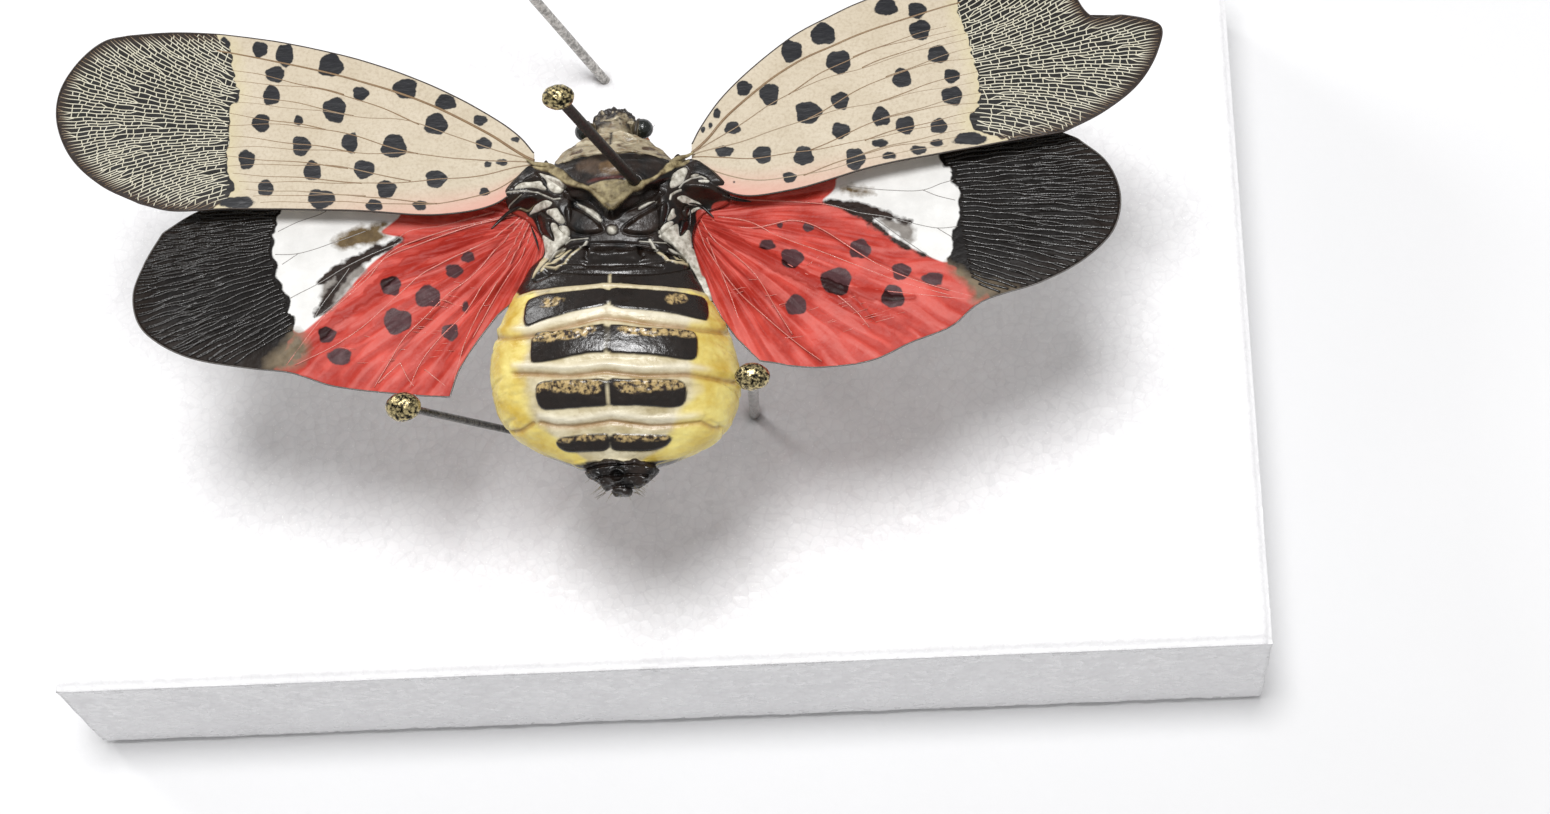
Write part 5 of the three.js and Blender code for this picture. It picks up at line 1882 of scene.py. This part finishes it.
PINS = {
    "pin_main": Pin((-0.64, 0.21, 13.0), (4.87, 3.63, -18), 0.66, 0.52, 0.24, "brown_shaft"),
    "pin_left": Pin((-8.94, -8.97, 2.0), (-2.74, -3.68, -18), 0.78, 0.64, 0.17, "dark_shaft"),
    "pin_right": Pin((6.45, -8.29, 2.0), (5.0, -2.13, -18), 0.74, 0.62, 0.25, "steel_shaft"),
    "pin_front": Pin((-11.1, 18.5, 10.0), (-2.61, 17.0, -18), 0.7, 0.55, 0.25, "steel_shaft"),
}
PIN_UP = (0.3, 1, 0.2)
PIN_DEPTH = 7.0
PIN_POINT = 0.9
HEAD_SQUASH = [1.07, 0.84, 0.95]
FOAM_SIZE = (59.5, 39.0)
FOAM_EDGE = 0.5
FOAM_INSET = 0.02
# Rings of the foam's walls: height from its top, and how far each is drawn in
FOAM_RINGS = [
    (-1.2, 0), (-2.4, 0), (-3.8, 0), (-5.2, 0), (-6.6, 0), (-8.0, 0), (-9.2, 0.02), (-9.8, 0.15),
    (-9.99, 0.5),
]


def pin(name, shape):
    top = shape.head
    down = unit_vector(shape.foot - top)
    tip = shape.foot + down * PIN_DEPTH / -down[2]
    length = np.linalg.norm(tip - top)
    build = Build()
    shaft = np.linspace(0.2, length - PIN_POINT - 0.1, 60)
    steps = np.concatenate([shaft, np.linspace(length - PIN_POINT, length, 10)])
    radii = shape.shaft * np.minimum(1, (length - steps) / PIN_POINT + 0.1)
    tube(build, top + steps[:, None] * down, radii, sides=24, slot=1, up=PIN_UP)
    polar, turn = ball_angles(density(48), density(72))
    side = unit_vector(np.cross(down, PIN_UP))
    round_way = np.cos(turn)[..., None] * side + np.sin(turn)[..., None] * np.cross(down, side)
    along = down * (shape.half * np.cos(polar))[..., None]
    points = top - along + shape.radius * np.sin(polar)[..., None] * round_way
    points = top + (points - top) * HEAD_SQUASH
    closed_block(build, points, 0.02 * layered(points, 0.22, 3, 3) - 0.02)
    build.piece(f"{name}_detail", [LOOKS["pin_head"], LOOKS[shape.look]], [name])


def foam():
    width, depth = FOAM_SIZE
    columns, rows = density(240), density(158)
    x = np.linspace(-width / 2 + FOAM_INSET, width / 2 - FOAM_INSET, columns)
    y = np.linspace(-depth / 2 + FOAM_INSET, depth / 2 - FOAM_INSET, rows) - INSECT[1]
    plan = np.stack(np.meshgrid(x, y, indexing="ij"), -1)
    sides = plan[..., 0] - x[0], x[-1] - plan[..., 0], plan[..., 1] - y[0], y[-1] - plan[..., 1]
    near = np.minimum.reduce(sides)
    drop = FOAM_EDGE * (1 - np.sqrt(1 - np.clip(1 - near / FOAM_EDGE, 0, 1) ** 2))
    z = FOAM_TOP - 0.03 - drop + 0.02 * layered(plan, 1.4, 2)
    dent = np.zeros_like(z)
    for shape in PINS.values():
        away = np.hypot(plan[..., 0] - shape.foot[0], plan[..., 1] - shape.foot[1])
        dent += hump(away, 0.5)
    z = np.minimum(z - 0.3 * dent, FOAM_TOP)
    points = np.concatenate([plan, z[..., None]], -1)
    rim = rim_of(columns, rows)
    flat = points.reshape(-1, 3)
    build = Build()
    walls = [flat]
    faces = grid_faces(columns, rows).tolist()
    count = len(flat)
    before = rim
    middle = np.array([0, -INSECT[1], 0])
    for level, back in FOAM_RINGS:
        ring = flat[rim].copy()
        ring[:, 2] = FOAM_TOP + level
        away = (ring - middle)[:, :2]
        on_wall = np.abs(away) > [width / 2 - 0.4, depth / 2 - 0.4]
        ring[:, :2] -= np.sign(away) * on_wall * (back + 0.04 * (1 + grain(ring, 0.8, 4)[:, None]))
        after = count + np.arange(len(rim))
        walls.append(ring)
        faces += np.stack([before, np.roll(before, -1), np.roll(after, -1), after], 1).tolist()
        before = after
        count += len(rim)
    faces.append(before.tolist())
    # How deep each point lies in a pin's dent, which paints shade there
    hole = np.concatenate([np.clip(dent, 0, 1).ravel(), np.zeros(count - len(flat))])
    build.add_mixed(np.vstack(walls), faces, hole=hole)
    build.piece("foam_block_cut", [LOOKS["foam"]], ["foam_block"])


# Materials
def fore_wing_look():
    look = Look("ForeWing")
    colour = look.mix(look.noise(2.2, 2), "b3a68f", "c9beab")
    colour = look.mix(look.span(look.noise(0.14, 3), 0.45, 0.75, 0, 0.4), colour, "94826a")
    colour = look.mix(look.mask("blush"), colour, "c9998a")
    near_net = look.span(look.mask("net"), 0.7, 0.0, 0, 0.5)
    colour = look.mix(near_net, colour, "c3b98f")
    spots = look.mix(look.noise(0.3, 4), "08080a", "1e1f25")
    colour = look.mix(look.within("spot", 0.02, 0.12, 0.2), colour, spots)
    cells = look.mix(look.span(look.mask("rim"), 0.9, 0.1), "0a0807", "22170f")
    colour = look.mix(look.within("net", 0.02), colour, cells)
    wrinkles = look.noise(0.35, 4, at=look.stretched((0.4, 1.0, 1.0)))
    roughness = look.span(look.noise(0.8), 0.3, 0.7, 0.4, 0.6)
    return look.done(colour, roughness, look.bump(wrinkles, 0.05), {"Specular IOR Level": 0.35})


def fore_veins_look():
    look = Look("ForeWingVeins")
    tone = look.mask("tone")
    brown = look.mix(look.noise(0.4), "6b5036", "8c7250")
    cream = look.mix(look.noise(0.5), "c2bca2", "dbd7c6")
    colour = look.mix(look.span(tone, 0.1, 0.6), cream, brown)
    colour = look.mix(look.span(tone, 0.8, 0.97), colour, "2c2018")
    rough = look.span(look.noise(0.5), 0.3, 0.7, 0.35, 0.5)
    return look.done(colour, rough, look.bump(look.noise(0.1), 0.02))


def hind_wing_look():
    look = Look("HindWing")
    colour = look.mix(look.span(look.noise(1.8, 4), 0.3, 0.7), "9c281d", "c84e43")
    colour = look.mix(look.span(look.noise(0.5, 4), 0.5, 0.75, 0, 0.35), colour, "cc6a62")
    # Painted highlight on the wrinkles' crests, then painted shade in their hollows
    colour = look.mix(look.span(look.mask("wrinkle"), 0.05, 0.5, 0, 0.28), colour, "d98078")
    colour = look.mix(look.span(look.mask("wrinkle"), -0.05, -0.5, 0, 0.38), colour, "8c2018")
    colour = look.mix(look.sum("MULTIPLY", look.within("fold", 0.03), 0.6), colour, "92231a")
    # Painted shade: darker red along the creases' grooves
    colour = look.mix(look.span(look.mask("crease"), 0.09, 0.02, 0, 0.55), colour, "861f17")
    spots = look.mix(look.noise(0.35, 4), "2c1316", "5c3f42")
    spots = look.mix(look.within("fold", 0.03), spots, "260a0b")
    colour = look.mix(look.within("spot", 0.03, 0.12, 0.25), colour, spots)
    white = look.mix(look.noise(0.9, 4), "c9c8c5", "e9e8e6")
    colour = look.mix(look.within("white", 0.04), colour, white)
    patch = look.mix(look.noise(0.4, 4), "57504b", "9c9791")
    colour = look.mix(look.within("patch", 0.12, 0.2), colour, patch)
    smear = look.mix(look.noise(0.4, 4), "3a2b1c", "7d6a4a")
    colour = look.mix(look.within("smear", 0.14, 0.3), colour, smear)
    band = look.mix(look.noise(0.5, 4), "0e0a09", "33241c")
    colour = look.mix(look.within("band", 0.07, 0.2), colour, band)
    olive = look.mix(look.noise(0.5, 4), "3d342a", "8a7a62")
    black = look.mix(look.noise(0.8, 4), "060505", "130e0b")
    black = look.mix(look.span(look.mask("rim"), 1.6, 0.0, 0, 0.5), black, "2b2019")
    colour = look.mix(look.within("black", 0.04), colour, black)
    colour = look.mix(look.within("olive", 0.25, 0.3), colour, olive)
    rough = look.span(look.noise(0.5), 0.3, 0.7, 0.36, 0.5)
    return look.done(colour, rough, look.bump(look.noise(0.3, 3), 0.03), {"Specular IOR Level": 0.12})


def hind_veins_look():
    look = Look("HindWingVeins")
    tone = look.mask("tone")
    pale = look.mix(look.noise(0.3), "b04a3c", "d3857a")
    colour = look.mix(look.span(tone, 0.1, 0.45), pale, "7a7672")
    dark = look.mix(look.noise(0.3), "060504", "1a120d")
    colour = look.mix(look.span(tone, 0.55, 0.95), colour, dark)
    rough = look.span(look.noise(0.25, 4), 0.35, 0.65, 0.16, 0.42)
    return look.done(colour, rough, look.bump(look.noise(0.1), 0.02), {"Specular IOR Level": 0.5})


def tan_shell_look():
    look = Look("TanShell")
    streaks = look.noise(0.3, 5, at=look.stretched((0.5, 1.5, 1.0)))
    colour = look.mix(look.span(look.noise(0.8, 5), 0.35, 0.65), "6b5f46", "a0937a")
    colour = look.mix(look.mask("pale"), colour, look.mix(look.noise(0.3, 3), "a19479", "d2c8ae"))
    colour = look.mix(look.span(streaks, 0.48, 0.66, 0, 0.75), colour, "503e28")
    colour = look.mix(look.span(look.noise(0.16, 4), 0.55, 0.72, 0, 0.6), colour, "7a5227")
    colour = look.mix(look.mask("brown"), colour, look.mix(look.noise(0.15, 4), "241810", "5e452b"))
    dark = look.mix(look.noise(0.3, 4), "0b0908", "2a1f17")
    colour = look.mix(look.mask("dark"), colour, dark)
    rough = look.span(look.noise(0.4), 0.3, 0.7, 0.32, 0.55)
    return look.done(colour, rough, look.bump(streaks, 0.06), {"Coat Weight": 0.1})


def shell_look():
    look = Look("DarkShell")
    streaks = look.noise(0.35, 4, at=look.stretched((2.2, 0.7, 1.0)))
    colour = look.mix(look.span(look.noise(0.8, 4), 0.35, 0.7), "070606", "2a1f19")
    colour = look.mix(look.mask("umber"), colour, look.mix(streaks, "1e140f", "5e4c3d"))
    colour = look.mix(look.mask("amber"), colour, look.mix(streaks, "33241a", "7c6243"))
    olive = look.mix(look.span(look.noise(0.4, 5), 0.35, 0.65), "5a4c30", "a89a74")
    colour = look.mix(look.mask("tan"), colour, olive)
    pale = look.mix(look.span(look.noise(0.28, 4), 0.35, 0.65), "8f897c", "d6d2c6")
    colour = look.mix(look.mask("pale"), colour, pale)
    colour = look.mix(look.mask("red"), colour, look.mix(look.noise(0.5, 3), "7a2419", "b5443a"))
    rough = look.span(look.noise(0.5, 3), 0.3, 0.7, 0.24, 0.42)
    rough = look.sum("ADD", rough, look.sum("MULTIPLY", look.mask("pale"), 0.2))
    rough = look.sum("ADD", rough, look.sum("MULTIPLY", look.mask("tan"), 0.22))
    return look.done(
        colour, rough, look.bump(look.noise(0.22, 5), 0.025), {"Specular IOR Level": 0.4}
    )


def abdomen_look():
    look = Look("Abdomen")
    colour = look.mix(look.span(look.noise(1.1, 5), 0.35, 0.65), "b3a57f", "d6ccae")
    colour = look.mix(look.span(look.noise(0.3, 4), 0.5, 0.75, 0, 0.5), colour, "94825c")
    yellow = look.mix(look.span(look.noise(1.0, 5), 0.3, 0.7), "c4a640", "e4d582")
    colour = look.mix(look.mask("yellow"), colour, yellow)
    # Painted highlight: paler cream on the raised crests beside the folds
    colour = look.mix(look.sum("MULTIPLY", look.mask("crest"), 0.55), colour, "e2dccb")
    # Brown along the folds: partly their own orange-brown, partly painted shade in their grooves
    colour = look.mix(look.sum("MULTIPLY", look.mask("fold"), 0.6), colour, "8f5f2c")
    ridge = look.sum("MULTIPLY", look.mask("ridge"), 0.6)
    colour = look.mix(ridge, colour, look.mix(look.noise(0.4, 3), "8d7a57", "cbbf9f"))
    black = look.mix(look.noise(0.4, 4), "080605", "221812")
    dusty = look.span(look.noise(0.2, 5), 0.4, 0.58)
    tan = look.mix(dusty, "2e2118", "b39a69")
    dark = look.mix(look.mask("tan"), black, tan)
    colour = look.mix(look.mask("dark"), colour, dark)
    shine = look.sum("MULTIPLY", look.mask("dark"), 0.12)
    rough = look.sum("SUBTRACT", look.span(look.noise(0.3, 3), 0.3, 0.7, 0.32, 0.46), shine)
    return look.done(
        colour, rough, look.bump(look.noise(0.25, 4), 0.03), {"Coat Weight": 0.06, "Coat Roughness": 0.12}
    )


def eye_look():
    look = Look("Eye")
    colour = look.mix(look.noise(0.12, 2), "060807", "171d19")
    colour = look.mix(look.mask("rim"), colour, "4b4232")
    rough = look.span(look.noise(0.3), 0.3, 0.7, 0.16, 0.26)
    facets = look.bump(look.cells(0.04), 0.008)
    return look.done(colour, rough, facets, {"Coat Weight": 0.3})


def antenna_look():
    look = Look("Antenna")
    orange = look.mix(look.noise(0.12, 3), "b4541d", "e08a3c")
    tone = look.mask("tone")
    colour = look.mix(look.span(tone, 0.0, 0.5), orange, "f0b46a")
    colour = look.mix(look.span(tone, 0.6, 1.0), colour, "3a2416")
    rough = look.span(look.noise(0.2), 0.3, 0.7, 0.35, 0.5)
    return look.done(colour, rough, look.bump(look.noise(0.06), 0.02))


def metal_look(name, dark, light, metallic, smooth, speckle_size=0.22):
    look = Look(name)
    # Mottles of a dark and a light colour; on the pin heads the light speckles are painted highlights
    colour = look.mix(look.span(look.noise(speckle_size, 4), 0.42, 0.6), dark, light)
    rough = look.span(look.noise(0.15, 4), 0.3, 0.7, smooth, smooth + 0.25)
    return look.done(colour, rough, look.bump(look.noise(0.12, 4), 0.03), {"Metallic": metallic})


def foam_look():
    look = Look("Foam")
    colour = look.mix(look.noise(3.0, 3), "e4e3e5", "f4f4f5")
    rims = look.span(look.cells(0.55, "DISTANCE_TO_EDGE"), 0.0, 0.12, 0.16, 0)
    colour = look.mix(rims, colour, "c9c7cb")
    # Painted glints: white flecks standing for the foam's sparkle
    painted_glints = look.span(look.noise(0.1, 2), 0.66, 0.74, 0, 1)
    colour = look.mix(painted_glints, colour, "ffffff")
    # Painted shade: grey in the dents round the pins' entries
    colour = look.mix(look.span(look.mask("hole"), 0.2, 1.0, 0, 0.6), colour, "6e6a68")
    gloss = look.span(look.cells(0.4, output="Color"), 0.2, 0.9, 0.2, 0.75)
    normal = look.bump(look.cells(0.55), 0.03)
    return look.done(colour, gloss, normal, {"Specular IOR Level": 0.5})


def floor_look():
    look = Look("Floor")
    colour = look.mix(look.noise(30.0, 2), "dcdcdd", "e4e4e5")
    return look.done(colour, 0.8, look.bump(look.noise(0.8, 2), 0.02))


LOOKS = {
    "fore": fore_wing_look(),
    "fore_veins": fore_veins_look(),
    "hind": hind_wing_look(),
    "hind_veins": hind_veins_look(),
    "tan": tan_shell_look(),
    "shell": shell_look(),
    "abdomen": abdomen_look(),
    "eye": eye_look(),
    "antenna": antenna_look(),
    # A dark head whose light speckles are painted highlights
    "pin_head": metal_look("PinHead", "0b0906", "c9b887", 0.75, 0.12, 0.15),
    "dark_shaft": metal_look("DarkShaft", "100e0c", "57534c", 0.5, 0.2),
    "brown_shaft": metal_look("BrownShaft", "0a0807", "241d18", 0.0, 0.5),
    "steel_shaft": metal_look("SteelShaft", "85837f", "b9b6b1", 0.95, 0.12),
    "foam": foam_look(),
    "floor": floor_look(),
}

# The specimen and its mount
for seed, (label, side) in enumerate([("left", LEFT), ("right", RIGHT_SIDE)], start=3):
    fore_wing(label, FORE_WINGS[label], seed)
    hind_wing(label, HIND_WINGS[label], seed + 10)
    hinge(label)
    eye(label, side)
    antenna(label, side)
    for pair in LEG_SHAPES:
        leg(pair, label, side)
pronotum()
torso()
abdomen()
abdomen_tip()
head()
rostrum()
for name, shape in PINS.items():
    pin(name, shape)
foam()

# Studio
FLOOR_HALF = 1.5
WORLD_STRENGTH = 0.42
# Name, place, width and power of each light
LAMPS = [("light_above", (0.0, 0.0, 0.45), 0.14, 1.7), ("light_side", (-0.3, 0.25, 0.2), 0.15, 0.5)]
floor_mesh = bpy.data.meshes.new("floor")
corners = [(-FLOOR_HALF, -FLOOR_HALF, 0), (FLOOR_HALF, -FLOOR_HALF, 0), (FLOOR_HALF, FLOOR_HALF, 0)]
corners.append((-FLOOR_HALF, FLOOR_HALF, 0))
floor_mesh.from_pydata(corners, [], [(0, 1, 2, 3)])
floor_mesh.materials.append(LOOKS["floor"])
floor = bpy.data.objects.new("floor", floor_mesh)
bpy.context.scene.collection.objects.link(floor)


def soft_light(name, place, size, power):
    light = bpy.data.lights.new(name, "AREA")
    light.shape = "DISK"
    light.size = size
    light.energy = power
    thing = bpy.data.objects.new(name, light)
    bpy.context.scene.collection.objects.link(thing)
    way = Vector(place).to_track_quat("Z", "Y")
    thing.matrix_world = Matrix.Translation(place) @ way.to_matrix().to_4x4()
    return thing


lamps = [soft_light(*lamp) for lamp in LAMPS]
world = bpy.data.worlds.new("studio")
world.use_nodes = True
world.node_tree.nodes["Background"].inputs["Color"].default_value = (1.0, 1.0, 1.0, 1.0)
world.node_tree.nodes["Background"].inputs["Strength"].default_value = WORLD_STRENGTH
bpy.context.scene.world = world

camera_data = bpy.data.cameras.new("camera")
camera_data.lens = LENS
camera_data.sensor_width = SENSOR
camera_data.clip_start = 0.001
camera = bpy.data.objects.new("camera", camera_data)
bpy.context.scene.collection.objects.link(camera)
turned = np.eye(4)
turned[:3, :3] = np.stack([RIGHT, UP, BACK], 1)
turned[:3, 3] = (EYE_POINT + INSECT) * MM
camera.matrix_world = Matrix(turned.tolist())
bpy.context.scene.camera = camera
bpy.context.scene.view_settings.view_transform = "Standard"
